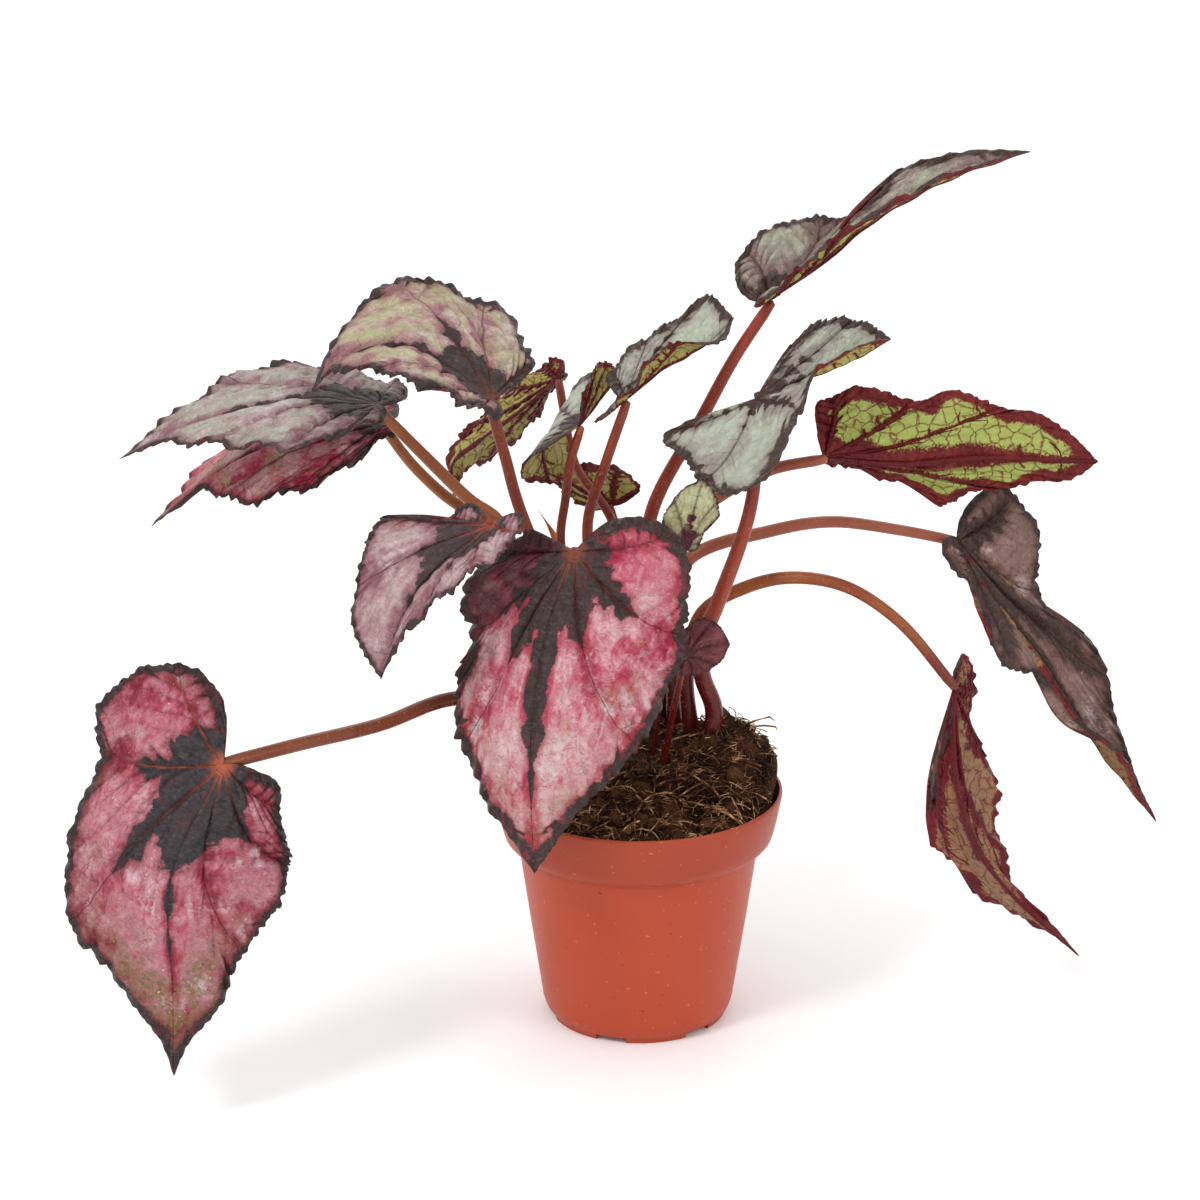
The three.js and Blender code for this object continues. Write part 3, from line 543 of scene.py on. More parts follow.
# Blades: the leaves themselves, soft blistered sheets about a millimetre thick with frilled, toothed
# margins. Each hangs on its stalk at the notch between its lobes; its halves fold along the midrib.
STATIONS = {  # shares of the length where the widths of a half are given
    5: (0.08, 0.25, 0.45, 0.65, 0.85),
    9: (0.05, 0.155, 0.26, 0.365, 0.47, 0.575, 0.68, 0.785, 0.89),
}
LOBE_SHAPE = ((-0.75, 0.18), (-1, 0.5), (-0.55, 0.87))  # basal lobe, shares of its length and width
BLADE = 0.9                     # thickness
VEINS = 4                       # main veins in half a blade
RANKS = 7                       # side veins along a main vein
BEND = 0.07                     # how far the main veins curve towards the tip
PUFF = 0.02                     # height of the quilting, share of the length
TOOTH = 4.2                     # length of one tooth on the margin
FRILLS, CRIMPS = 6, (19, 31)    # waves of the margin in half a blade
LARGE_BLADE = 50                # longer blades get the finer mesh: points round half of it and rings
FINE_MESH, COARSE_MESH = (190, 36), (90, 20)
SEED_STEP = 1.7
UPPER_GLOSS, UNDER_GLOSS = 0.36, 0.2
BLADE_RELIEF = 0.0009           # height of the bump, in metres
# Each leaf: the midrib from stalk to tip, then its two halves as (basal lobe, widths, the directions it
# spreads in along the midrib as bearing and tilt, curl), the stalk and its radius low and high.
LEAVES = {
    "far_left": dict(
        length=134, frill=2.2, tooth=2.6, tone="crimson", under="wine",
        rib=[(-160, -112, 154), (-181, -118, 110), (-182, -120, 62), (-183, -118, 25)],
        left=(4, (31, 40, 46, 49, 48, 39, 25, 21, 7), [(-35, 15), (0, 15), (5, 10)], 15),
        right=(29, (56, 46, 46, 45, 45, 41, 29, 16, 5), [(155, 12), (178, 12), (180, 10)], 15),
        stalk=[(-20, 6, 114), (-44, -14, 143), (-76, -38, 153), (-103, -64, 152), (-132, -90, 154)],
        thick=(3.2, 2.6), skin="tan"),
    "front": dict(
        length=136, frill=2.2, tooth=2.6, tone="rose", under="wine",
        rib=[(-26, -64, 224), (-37, -74, 194), (-43, -80, 152), (-42, -76, 93)],
        left=(20, (53, 58, 60, 59, 55, 48, 38, 22, 11), [(-18, 12), (-5, 14), (0, 10)], 10),
        right=(0, (28, 40, 44, 34, 39, 37, 31, 22, 11), [(165, 35), (175, 30), (180, 20)], 10),
        stalk=[(-4, 1, 114), (-10, -22, 165), (-20, -46, 204)],
        thick=(3, 2.6), skin="brick"),
    "left_front": dict(
        length=82, frill=1.6, tooth=2.2, tone="mauve", under="wine",
        rib=[(-58, -58, 233), (-78, -68, 219), (-90, -76, 205), (-101, -84, 178)],
        left=(14, (24, 23, 22, 21, 20, 17, 12, 7, 3), [(-40, -78), (-50, -80), (-60, -78)], 10),
        right=(1, (14, 14, 24, 31, 30, 27, 23, 20, 12), [(135, 10), (142, 15), (165, 10)], 10),
        stalk=[(-12, 3, 114), (-26, -13, 165), (-48, -30, 209)],
        thick=(2.8, 2.3), skin="brick"),
    "upper_left": dict(
        length=92, frill=1.8, tooth=2.2, tone="blush", under="wine",
        rib=[(-59, -20, 273), (-76, -28, 288), (-92, -38, 299), (-115, -50, 298), (-127, -56, 287)],
        left=(6, (17, 23, 23, 27, 30, 25, 19, 15, 6), [(-60, -80), (-85, -82), (-92, -82)], 8),
        right=(3, (38, 48, 47, 43, 42, 42, 45, 36, 20), [(25, 55), (45, 55), (62, 55), (82, 55)], 10),
        stalk=[(-14, 12, 114), (-30, 4, 170), (-49, -6, 225), (-54, -12, 247)],
        thick=(2.9, 2.2), skin="brick"),
    "left_upper": dict(
        length=114, frill=1.8, tooth=2.4, tone="silver", under="wine",
        rib=[(-103, -30, 273), (-129, -42, 279), (-152, -52, 278), (-176, -60, 273), (-201, -66, 262)],
        left=(4, (19, 32, 39, 38, 35, 27, 21, 10, 3), [(-80, -82), (-90, -82), (-100, -80)], 8),
        right=(12, (36, 42, 40, 38, 41, 40, 27, 18, 9), [(80, 84), (95, 78), (110, 75)], 8),
        stalk=[(-22, 15, 114), (-40, 8, 168), (-57, -4, 217), (-68, -8, 227), (-86, -18, 249)],
        thick=(3.3, 2.2), skin="tan"),
    "left_under": dict(
        length=110, frill=1.8, tooth=2.4, tone="carmine", under="wine",
        rib=[(-102, -12, 260), (-131, -24, 259), (-151, -32, 255), (-173, -42, 244), (-192, -48, 229)],
        left=(5, (10, 20, 25, 29, 28, 25, 15, 2, 3), [(-55, -60), (-80, -62), (-90, -80)], 8),
        right=(6, (30, 34, 34, 33, 32, 32, 34, 30, 10), [(95, 84), (95, 84), (95, 84)], 8),
        stalk=[(-20, 24, 114), (-42, 18, 168), (-61, 10, 208), (-81, -1, 229), (-92, -5, 242)],
        thick=(3, 2.1), skin="tan"),
    "back_left": dict(
        length=78, frill=1.2, tooth=1.8, tone="silver", under="net",
        rib=[(-33, 45, 263), (-51, 55, 245), (-67, 66, 230), (-79, 76, 216), (-78, 80, 199)],
        left=(6, (14, 17, 16, 12, 5), [(125, 60), (125, 68), (130, 60)], 5),
        right=(4, (12, 20, 22, 20, 8), [(-51, 72), (-51, 55), (-51, 40)], 5),
        stalk=[(-3, 29, 116), (-4, 30, 165), (-11, 34, 205), (-26, 40, 227), (-31, 44, 250)],
        thick=(2.1, 1.8), skin="brick"),
    "small_fold": dict(
        length=38, frill=1, tooth=1.6, tone="pale", under="net",
        rib=[(-24, -6, 258), (-16, 6, 265), (-8, 18, 273)],
        left=(20, (44, 44, 40, 30, 12), [(175, 20), (165, 20), (150, 20)], 150),
        right=(0, (18, 19, 17, 13, 7), [(85, 20), (90, 20), (100, 20)], 10),
        stalk=[(-11, 21, 116), (-26, 14, 165), (-32, 4, 207), (-30, 0, 225), (-28, -3, 241)],
        thick=(2, 1.8), skin="brick"),
    "centre_top": dict(
        length=61, frill=1, tooth=1.6, tone="pale", under="net",
        rib=[(-6, -8, 269), (10, -2, 281), (26, 6, 288), (38, 14, 297)],
        left=(2, (18, 20, 19, 20, 21), [(135, 50), (120, 50), (110, 50)], 5),
        right=(16, (14, 18, 15, 11, 8), [(100, -68), (112, -46), (-60, -60)], 0),
        stalk=[(-5, 10, 115), (-14, 4, 165), (-21, -2, 215), (-14, -5, 241)],
        thick=(2.6, 2), skin="brick"),
    "right_centre": dict(
        length=66, frill=1.2, tooth=1.8, tone="pale", under="net",
        rib=[(46, -10, 270), (72, -6, 280), (86, 0, 284), (101, 8, 290)],
        lobe_shape=((-1, -0.03), (-0.68, 0.42), (-0.3, 0.9)),
        left=(0, (3, 15, 22, 20, 11), [(100, 35), (95, 35), (90, 35)], 5),
        right=(41, (39, 21, 12, 14, 9), [(-106, -38), (-70, -75), (120, -60), (120, -50), (120, -50)], 30),
        stalk=[(30, 2, 116), (31, 1, 134), (26, -2, 150), (26, -8, 168), (31, -14, 184), (43, -18, 222),
               (46, -17, 242)],
        thick=(4, 2.2), skin="red"),
    "top_right": dict(
        length=130, frill=1.4, tooth=2, tone="grey", under="lime",
        rib=[(52, 12, 305), (75, 18, 320), (92, 22, 334), (124, 32, 350), (158, 38, 360)],
        left=(10, (31, 30, 21, 11, 10, 16, 13, 11, 6),
              [(120, 50), (116, 50), (120, 50), (120, 50), (110, 50)], 0),
        right=(8, (18, 18, 16, 12, 7), [(95, -66), (115, -60), (95, -69), (95, -69), (95, -69)], 0),
        stalk=[(6, 20, 118), (3, 20, 165), (5, 18, 213), (25, 16, 254), (38, 14, 280)],
        thick=(3.4, 2.3), skin="red"),
    "right": dict(
        length=115, frill=1.6, tooth=2.2, tone="grey", under="lime",
        rib=[(75, 6, 241), (106, 10, 237), (140, 16, 238), (188, 20, 235)],
        left=(2, (14, 13, 17, 21, 24, 16, 17, 11, 11),
              [(-90, 66), (-89, 52), (-88, 20), (-88, 20), (-88, 20)], 5),
        right=(2, (26, 32, 30, 26, 29, 25, 20, 19, 12), [(98, 15), (92, 15), (90, 15)], 5),
        stalk=[(15, 20, 119), (15, 18, 170), (21, 13, 212), (33, 11, 223), (53, 8, 235)],
        thick=(3, 2.3), skin="dusty"),
    "right_hanging": dict(
        length=144, frill=1.8, tooth=2.2, tone="dusky", under="maroon",
        rib=[(133, 38, 195), (150, 36, 169), (171, 32, 143), (192, 28, 110), (220, 24, 74)],
        left=(8, (33, 33, 20, 15, 22, 22, 14, 9, 4), [(46, 10), (43, 12), (48, 15), (30, 10), (30, 10)], 5),
        right=(6, (15, 10, 26, 21, 5, 3, 14, 15, 7),
              [(212, -60), (212, -66), (215, -50), (60, -60), (40, -50)], 0),
        stalk=[(13, 29, 119), (12, 29, 165), (21, 29, 190), (55, 33, 201), (80, 36, 204), (109, 37, 200)],
        thick=(3.2, 2.2), skin="dusty"),
    "right_folded": dict(
        length=130, frill=1.6, tooth=2.2, tone="dusky", under="rust",
        rib=[(128, -18, 151), (129, -20, 117), (132, -20, 100), (139, -22, 81), (155, -26, 61),
             (182, -34, 38)],
        left=(0, (1, 2, 8, 14, 24, 32, 26, 30, 5), [(190, 58), (190, 58), (200, 58)], 5),
        right=(12, (18, 17, 23, 32, 26, 19, 8, 5, 4), [(0, 58), (0, 58), (20, 58)], 5),
        stalk=[(22, 11, 119), (20, 8, 150), (26, 4, 175), (43, -2, 188), (61, -7, 194), (83, -12, 192),
               (105, -15, 178)],
        thick=(3.2, 2.1), skin="amber"),
    "young_pale": dict(
        length=30, frill=0.8, tooth=1.2, tone="cream", under="net",
        rib=[(18, -37, 217), (21, -35, 231), (25, -29, 243)],
        left=(2, (8, 11, 12, 10, 7), [(178, 0), (178, 0)], 5),
        right=(2, (6, 7, 11, 9, 5), [(0, 0), (0, 0)], 5),
        stalk=[(5, -4, 112), (12, -18, 165)],
        thick=(0.9, 0.8), skin="olive"),
    "young_behind": dict(
        length=38, frill=0.8, tooth=1.2, tone="pale", under="net",
        rib=[(-11, 46, 208), (-26, 52, 214), (-41, 58, 224)],
        left=(3, (16, 17, 14, 9, 5), [(35, 10), (60, 45), (75, 45)], 5),
        right=(2, (8, 10, 9, 7, 4), [(235, 40), (235, 40)], 5),
        stalk=[(3, 33, 118), (1, 38, 165)],
        thick=(1.3, 1.1), skin="brick"),
    "young_dark": dict(
        length=20, frill=0.5, tooth=0.8, tone="plum", under="maroon",
        rib=[(18, -36, 171), (26, -40, 176), (36, -42, 178)],
        left=(4, (12, 13, 13, 11, 7), [(92, 0), (92, 0)], 5),
        right=(4, (10, 12, 12, 11, 7), [(-88, 10), (-88, 10)], 5),
        stalk=[(10, -6, 112), (14, -20, 142)],
        thick=(1.6, 1.2), skin="brick"),
}


class Path:
    """Smooth path through points, read by its share of arc length."""

    def __init__(self, points, steps=80):
        p = np.array(points, float)
        p = np.vstack([2 * p[0] - p[1], p, 2 * p[-1] - p[-2]])
        out = [p[1:2]]
        for a, b, c, d in zip(p, p[1:], p[2:], p[3:]):
            g = [max(np.linalg.norm(v) ** 0.5, 1e-4) for v in (b - a, c - b, d - c)]
            t1 = ((b - a) / g[0] - (c - a) / (g[0] + g[1]) + (c - b) / g[1]) * g[1]
            t2 = ((c - b) / g[1] - (d - b) / (g[1] + g[2]) + (d - c) / g[2]) * g[1]
            t = np.linspace(0, 1, steps + 1)[1:, None]
            square, cube = 3 * (c - b) - 2 * t1 - t2, 2 * (b - c) + t1 + t2
            out.append(b + t1 * t + square * t ** 2 + cube * t ** 3)
        self.points = np.vstack(out)
        far = np.r_[0, np.cumsum(np.linalg.norm(np.diff(self.points, axis=0), axis=1))]
        self.length = far[-1]
        self.share = far / far[-1]

    def at(self, share):
        return np.stack([np.interp(share, self.share, c) for c in self.points.T], -1)


def unit(v):
    return v / np.maximum(np.linalg.norm(v, axis=-1, keepdims=True), 1e-9)


def half_margin(leaf, side):
    lobe, widths = leaf[side][:2]
    shape = leaf.get("lobe_shape", LOBE_SHAPE)
    points = [(0, 0)] + [(a * lobe, b * widths[0]) for a, b in shape]
    points += [(s * leaf["length"], w) for s, w in zip(STATIONS[len(widths)], widths)]
    return Path(points + [(leaf["length"], 0)])


def placed(leaf, side, x, y, lift):
    """From the flat half blade to its place on the plant. x runs along the midrib, y out to the side."""
    widths, spread, curl = leaf[side][1:]
    rib = Path(leaf["rib"])
    u = np.clip(x / leaf["length"], 0, 1)
    along = unit(rib.at(np.minimum(u + 0.03, 1)) - rib.at(np.maximum(u - 0.03, 0)))
    centre = rib.at(u) + along * np.minimum(x, 0)[:, None]
    ways = np.array([(cos(radians(b)) * cos(radians(d)), sin(radians(d)), sin(radians(b)) * cos(radians(d)))
                     for b, d in spread])
    k = u * (len(ways) - 1)
    i = np.minimum(k.astype(int), len(ways) - 2)
    mix = smoothstep(k - i, 0, 1)[:, None]
    out = unit(ways[i] * (1 - mix) + ways[i + 1] * mix)
    upper = unit(np.cross(along, out)) * (1 if side == "left" else -1)
    bend = max(radians(curl), 1e-3) / max(widths)
    rise = lift - (1 - np.cos(bend * y)) / bend
    return centre + out * (np.sin(bend * y) / bend)[:, None] + upper * rise[:, None]


def from_whole(value):
    """How far a number is from the nearest whole one."""
    return np.abs((value + 0.5) % 1 - 0.5)


def half_blade(leaf, side, seed, s, shares):
    """Rings of half a blade: place, flat place, distance to the margin, share of the way, spread."""
    margin = half_margin(leaf, side)
    at = margin.at(s)
    ends = np.sin(pi * s)
    # the margin is cut in coarse teeth with fine ones on them
    coarse = 0.5 + 0.5 * np.sin(97 * s + seed) * np.cos(41 * s * s + 2 * seed)
    saw = ((s * margin.length / TOOTH + 0.35 * np.sin(9 * s + seed)) % 1) ** 1.6
    fine = 0.75 * saw + 0.25 * (0.5 + 0.5 * np.sin(211 * s + seed))
    cut = leaf["tooth"] * (0.7 * coarse + 0.75 * fine) * (0.3 + 0.7 * ends)
    slant = np.gradient(at, s, axis=0)
    speed = np.linalg.norm(slant, axis=1)
    reach = np.maximum(np.linalg.norm(at, axis=1), 1)
    across = np.abs(at[:, 0] * slant[:, 1] - at[:, 1] * slant[:, 0]) / (reach * speed)
    calm = smoothstep(across, 0.1, 0.6)
    crimp = np.sin(2 * pi * CRIMPS[0] * s + 2.3 * seed + 4 * np.sin(7 * s + seed))
    crimp += 0.7 * np.sin(2 * pi * CRIMPS[1] * s + seed + 3 * np.sin(11 * s))
    rings = []
    for r in shares:
        x, y = (at * (r * (1 - cut * r ** 5 / reach))[:, None]).T
        frill = leaf["frill"] * r ** 3 * ends * np.sin(2 * pi * FRILLS * s + seed)
        frill += 0.42 * leaf["frill"] * r ** 7 * crimp * np.minimum(ends * 2, 1)
        # the blade is quilted up between its main and side veins
        arch = np.sin(pi * min(r, 1))
        off = from_whole((s + BEND * r * r * ends) * VEINS)
        rank = RANKS * r - 1.5 * off * speed * r / np.maximum(reach, 0.25 * speed)
        puff = (1 - np.exp(-(off / 0.1) ** 2)) * (1 - 0.5 * np.exp(-(from_whole(rank) / 0.16) ** 2))
        pad = PUFF * leaf["length"] * (puff - 0.5) * arch ** 0.8
        pad += 0.005 * leaf["length"] * r * np.sin(2 * pi * rank + seed) * arch
        rough = np.sin(0.31 * x + 2.1 * np.sin(0.23 * y + seed)) * np.sin(0.37 * y + seed)
        pad = (pad + 0.5 * rough * smoothstep(r, 0.15, 0.5)) * calm
        flat = np.column_stack([x, y])
        near = np.linalg.norm(flat[:, None] - margin.points[None, 40::6], axis=2).min(axis=1)
        rings.append((placed(leaf, side, x, y, frill + pad), x, y, near, r, speed * r))
    return rings


def blade_mesh(name, leaf, seed, stuffs):
    """Both faces and the edge of a blade, with its flat coordinates kept for the pattern."""
    count, rings = FINE_MESH if leaf["length"] > LARGE_BLADE else COARSE_MESH
    shares = np.linspace(0, 1, rings + 1)[1:] ** 0.9
    s = np.arange(1, count + 1) / count
    foot = Path(leaf["rib"]).at(np.array([0.0]))[0]
    points, flat, chart = [foot[None]], [[[0, 0, 0]]], [[[0, 0, 0]]]
    around = 2 * count - 1
    sides = [half_blade(leaf, side, seed, s, shares) for side in ("left", "right")]
    outward, homeward = slice(None), slice(-2, None, -1)
    for left, right in zip(*sides):
        for (p, x, y, near, r, spread), sign, pick in ((left, 1, outward), (right, -1, homeward)):
            points.append(p[pick])
            flat.append(np.column_stack([x, sign * y, near])[pick])
            chart.append(np.column_stack([s, np.full(count, r), spread])[pick])
    points, flat, chart = (np.vstack(v) for v in (points, flat, chart))
    sheet = [(0, 1 + j, 2 + j) for j in range(around - 1)]
    for k in range(rings - 1):
        a, b = 1 + k * around, 1 + (k + 1) * around
        sheet += [(a + j, b + j, b + j + 1, a + j + 1) for j in range(around - 1)]
    quads = np.array([f if len(f) == 4 else f + (f[2],) for f in sheet])
    a, b, c, d = points[quads.T]
    cross = np.cross(c - a, d - b)
    normals = np.zeros_like(points)
    for corner in quads.T:
        np.add.at(normals, corner, -cross)
    normals = unit(normals)
    thin = 0.5 * BLADE * (1 - 0.6 * smoothstep(chart[:, 1], 0.8, 1.0))[:, None]
    n = len(points)
    verts = np.vstack([points + normals * thin, points - normals * thin])
    rim = [0] + [1 + k * around for k in range(rings)]
    last = 1 + (rings - 1) * around
    rim += [last + j for j in range(1, around)]
    rim += [1 + k * around + around - 1 for k in range(rings - 2, -1, -1)] + [0]
    edge = [(a, b, n + b, n + a) for a, b in zip(rim, rim[1:])]
    faces = [f[::-1] for f in sheet] + [tuple(n + v for v in f) for f in sheet] + edge
    made = piece(name, verts, faces, stuffs, [0] * len(sheet) + [1] * len(sheet) + [0] * len(edge))
    for label, data in (("flat", flat), ("chart", chart)):
        layer = made.data.attributes.new(label, "FLOAT_VECTOR", "POINT")
        layer.data.foreach_set("vector", np.vstack([data, data]).astype(np.float32).ravel())
    return made, foot, normals[0]


PATTERN = {"Colour": (0, 0, 0), "Roughness": 0.0, "Height": 0.0}


def veins(tree, shift):
    """Reads a blade's chart: distances to its main, side and net veins in millimetres."""
    x, y, edge = axes(wire(tree, "ShaderNodeAttribute", None, "Vector", attribute_name="flat"))
    s, rho, spread = axes(wire(tree, "ShaderNodeAttribute", None, "Vector", attribute_name="chart"))
    plane = joined(x, y, shift)
    big = noise(plane, 0.045, 3)
    ends = maths("SINE", s * pi)
    along = s + rho * rho * BEND * ends + (big - 0.5) * 0.05 * ends * rho
    count = along * VEINS + 0.5
    off = abs(maths("FRACT", count) - 0.5)
    main = off * (1 / VEINS) * spread
    radius = vector("LENGTH", joined(x, y))
    inner = maths("MAXIMUM", rho, 0.02)
    reach = maths("MAXIMUM", radius / inner, spread / inner * 0.25)
    rank = rho * RANKS - main * 6 / reach + (big - 0.5) * 1.2
    step = maths("FRACT", rank + 0.5) - 0.5
    side = abs(step) * 0.109 * reach + span(off, 0.2, 0.42, 0.0, 4.0)
    shifted = vector("ADD", plane, joined(noise(plane, 0.3, 2) * 4.0, big * 9.0))
    net = wire(tree, "ShaderNodeTexVoronoi", {"Vector": shifted, "Scale": 0.17}, "Distance",
               feature="DISTANCE_TO_EDGE") * 5.9
    # a number of its own for every main vein, different on the two halves
    flank = maths("GREATER_THAN", y, 0.0) * 7.3
    return SimpleNamespace(plane=plane, y=y, s=s, rho=rho, edge=edge, main=main, side=side, net=net,
                           step=step, radius=radius, vein=maths("FLOOR", count) + flank, flank=flank)


def line(distance, width):
    """1 on a vein, falling to 0 at its width."""
    return span(distance, 0.0, width, 1.0, 0.0)


def clamped(value):
    """The sum that the wire comes from is held between 0 and 1."""
    value.socket.node.use_clamp = True
    return value


def upper_face():
    """Clouds of silver on the flesh, a dark margin, and a dark star that runs out along the main veins."""
    tree, given, out = group("ShaderNodeTree", "rex_upper_face", {
        "Flesh": (172, 58, 84), "Silver": (200, 152, 160), "Deep": (122, 14, 36), "Star": (52, 40, 40),
        "Edge": (54, 36, 36), "Fleck": (136, 124, 56), "Vein": (70, 30, 32), "Star size": 0.26,
        "Midrib reach": 0.74, "Side reach": 0.5, "Spike": 6.0, "Silvering": 0.6, "Flecking": 0.3,
        "Margin": 6.0, "Glow": 0.0, "Olive tip": 0.0, "Shade": 0.0, "Sheen": 0.5, "Lobe flush": 0.0,
        "Seed": 0.0}, PATTERN)
    v = veins(tree, given["Seed"] * 40.0)
    plane, deep = v.plane, given["Deep"]
    mottle = noise(plane, 0.5, 5, 0.7)
    fibre = noise(plane, 0.8, 4, 0.7, (1.0, 0.5, 1.0), 1.2)
    wrinkle = noise(plane, 0.3, 5, 0.65, None, 2.2)
    streak = noise(plane, 0.11, 4, 0.6, (1.0, 1.6, 1.0), 0.8)
    # rays run from the stalk to the margin between the veins
    rays = noise(joined(v.s * 30.0 + wrinkle * 1.2, v.rho * 3.0, given["Seed"] + v.flank), 1.0, 4, 0.6)
    # silver lies in clouds between the veins, the deep red along them and towards the margin
    cloud = streak * 0.45 + noise(plane, 0.04, 2) * 0.55 + rays * 0.3 + span(v.main, 1.0, 9.0) * 0.1
    # some leaves keep their full red in the lobes, silver only coming in from there to the tip
    flush = given["Lobe flush"] * span(streak * 0.3 + v.s, 0.34, 0.72, 1.0, 0.0)
    unveiled = 1.0 - flush
    silver = span(cloud, 0.6, 0.8) * span(wrinkle, 0.3, 0.62, 0.35, 1.0) * given["Silvering"] * unveiled
    colour = blend(silver, given["Flesh"], given["Silver"])
    colour = blend(span(fibre, 0.5, 0.72) * 0.35, colour, given["Silver"])
    rich = span(cloud, 0.5, 0.72, 1.0, 0.0) * 0.75 + span(mottle, 0.52, 0.3) * 0.35
    rich += span(v.edge, 5.0, 20.0, 0.6, 0.0) * span(cloud, 0.6, 0.8, 1.0, 0.2)
    colour = blend(clamped(rich), colour, deep)
    # painted sheen: pale pink streaks on the wrinkles and along the rays, painted into the colour as
    # highlights
    painted_sheen = span(wrinkle, 0.36, 0.6, 0.0, 0.4) + span(rays, 0.46, 0.64, 0.0, 0.6)
    painted_sheen = painted_sheen * span(noise(plane, 0.055, 3, 0.6), 0.5, 0.66) * unveiled
    colour = blend(painted_sheen * given["Sheen"], colour, (230, 208, 212))
    wisp = span(noise(plane, 0.085, 5, 0.75, None, 0.6), 0.58, 0.7) * span(wrinkle, 0.44, 0.62)
    colour = blend(wisp * given["Silvering"] * 0.9, colour, (214, 200, 198))
    tipward = span(v.s, 0.55, 0.95) * span(v.rho, 0.6, 0.86)
    fleck = span(noise(plane, 0.06, 5, 0.7), 0.5, 0.64) * given["Flecking"] * span(v.rho, 0.3, 0.8)
    fleck = clamped(fleck + tipward * given["Olive tip"] * span(streak, 0.3, 0.54))
    colour = blend(fleck * span(mottle, 0.32, 0.6), colour, given["Fleck"])
    colour = blend(span(noise(plane, 0.5, 0, 0.5), 0.8, 0.83) * 0.7, colour, (222, 192, 140))
    # the dark margin band reaches inwards along the veins and is shot with the deep red
    uneven = noise(plane, 0.13, 5, 0.75) * 1.7 + 0.05
    band = v.edge - given["Margin"] * (uneven + line(v.side, 1.8) * 0.4)
    colour = blend(span(band, -0.5, 3.5, 0.8, 0.0), colour, deep)
    # the margin's colour, with lighter flecks on the wrinkles as a painted highlight
    margin_with_painted_highlight = blend(span(wrinkle, 0.5, 0.7, 0.0, 0.5), given["Edge"], (116, 96, 89))
    margin_with_painted_highlight = blend(span(streak, 0.56, 0.68, 0.0, 0.5), margin_with_painted_highlight, deep)
    colour = blend(span(band, -0.7, 0.7, 1.0, 0.0), colour, margin_with_painted_highlight)
    # the dark star round the stalk runs out along the main veins, its sides torn into points
    number = maths("MULTIPLY_ADD", given["Seed"], 3.7, v.vein)
    chance = wire(tree, "ShaderNodeTexWhiteNoise", {"W": number}, noise_dimensions="1D")
    end = given["Side reach"] * (chance * 1.1 + 0.4)
    end = end + span(v.s, 0.86, 0.9) * (given["Midrib reach"] - end)
    left_over = clamped(1.0 - v.rho / end)
    wide = given["Spike"] * left_over ** 0.7 * (chance * 0.5 + 0.8)
    torn = noise(plane, 0.3, 4, 0.75) - 0.5
    sweep = noise(plane, 0.09, 2, 0.5) - 0.5
    ragged = torn * 7.0 + (0.34 - abs(v.step)) * 7.0 + sweep * 9.0
    spike = wide + ragged * span(left_over, 0.0, 0.3) - v.main
    spike = spike - maths("LESS_THAN", left_over, 0.001) * 50
    core = given["Star size"] + span(v.s, 0.02, 0.16, 1.0, 0.0) * 0.45 + torn * 0.2 + sweep * 0.3
    star = maths("MAXIMUM", spike, (core - v.rho) * 60)
    colour = blend(span(star, -5.0, 0.0, 0.0, 0.55), colour, deep)
    # the star's colour, streaked lighter along the fibres as a painted sheen and shot with the deep red
    dark = blend(span(fibre, 0.42, 0.75, 0.0, 0.5), given["Star"], (104, 88, 86))
    dark = blend(span(streak, 0.55, 0.7, 0.0, 0.35), dark, deep)
    # painted shade: one half of some leaves is painted dark wine from its lobe towards the middle
    painted_shade = given["Shade"] * span(v.s + sweep, 0.3, 0.62, 1.0, 0.0) * maths("LESS_THAN", v.y, 0)
    colour = blend(painted_shade, colour, (62, 14, 24))
    inside_star = span(star, -0.4, 0.6)
    colour = blend(inside_star, colour, dark)
    # fine sunken veins, glowing orange near the stalk on some leaves
    near_foot = span(v.radius, 4.0, 62.0, 1.0, 0.0)
    main_line = line(v.main, near_foot * 1.1 + 0.35)
    off_foot = span(v.rho, 0.1, 0.4)
    for drawn_line in (main_line * 0.6, line(v.side, 0.4) * off_foot * 0.35, line(v.net, 0.25) * 0.1):
        colour = blend(drawn_line, colour, given["Vein"])
    lit = maths("MAXIMUM", main_line, span(v.radius, 1.0, 7.0, 1.0, 0.0))
    connect(blend(lit * near_foot ** 1.8 * given["Glow"], colour, (186, 92, 62)), out["Colour"])
    connect(inside_star * 0.05 + fibre * 0.3 + 0.2, out["Roughness"])
    sunk = main_line * -0.5 + line(v.side, 1.4) * off_foot * -0.35
    connect(sunk + span(v.net, 0.0, 1.6) * 0.3 + fibre * 0.7 + wrinkle * 1.6, out["Height"])
    return tree


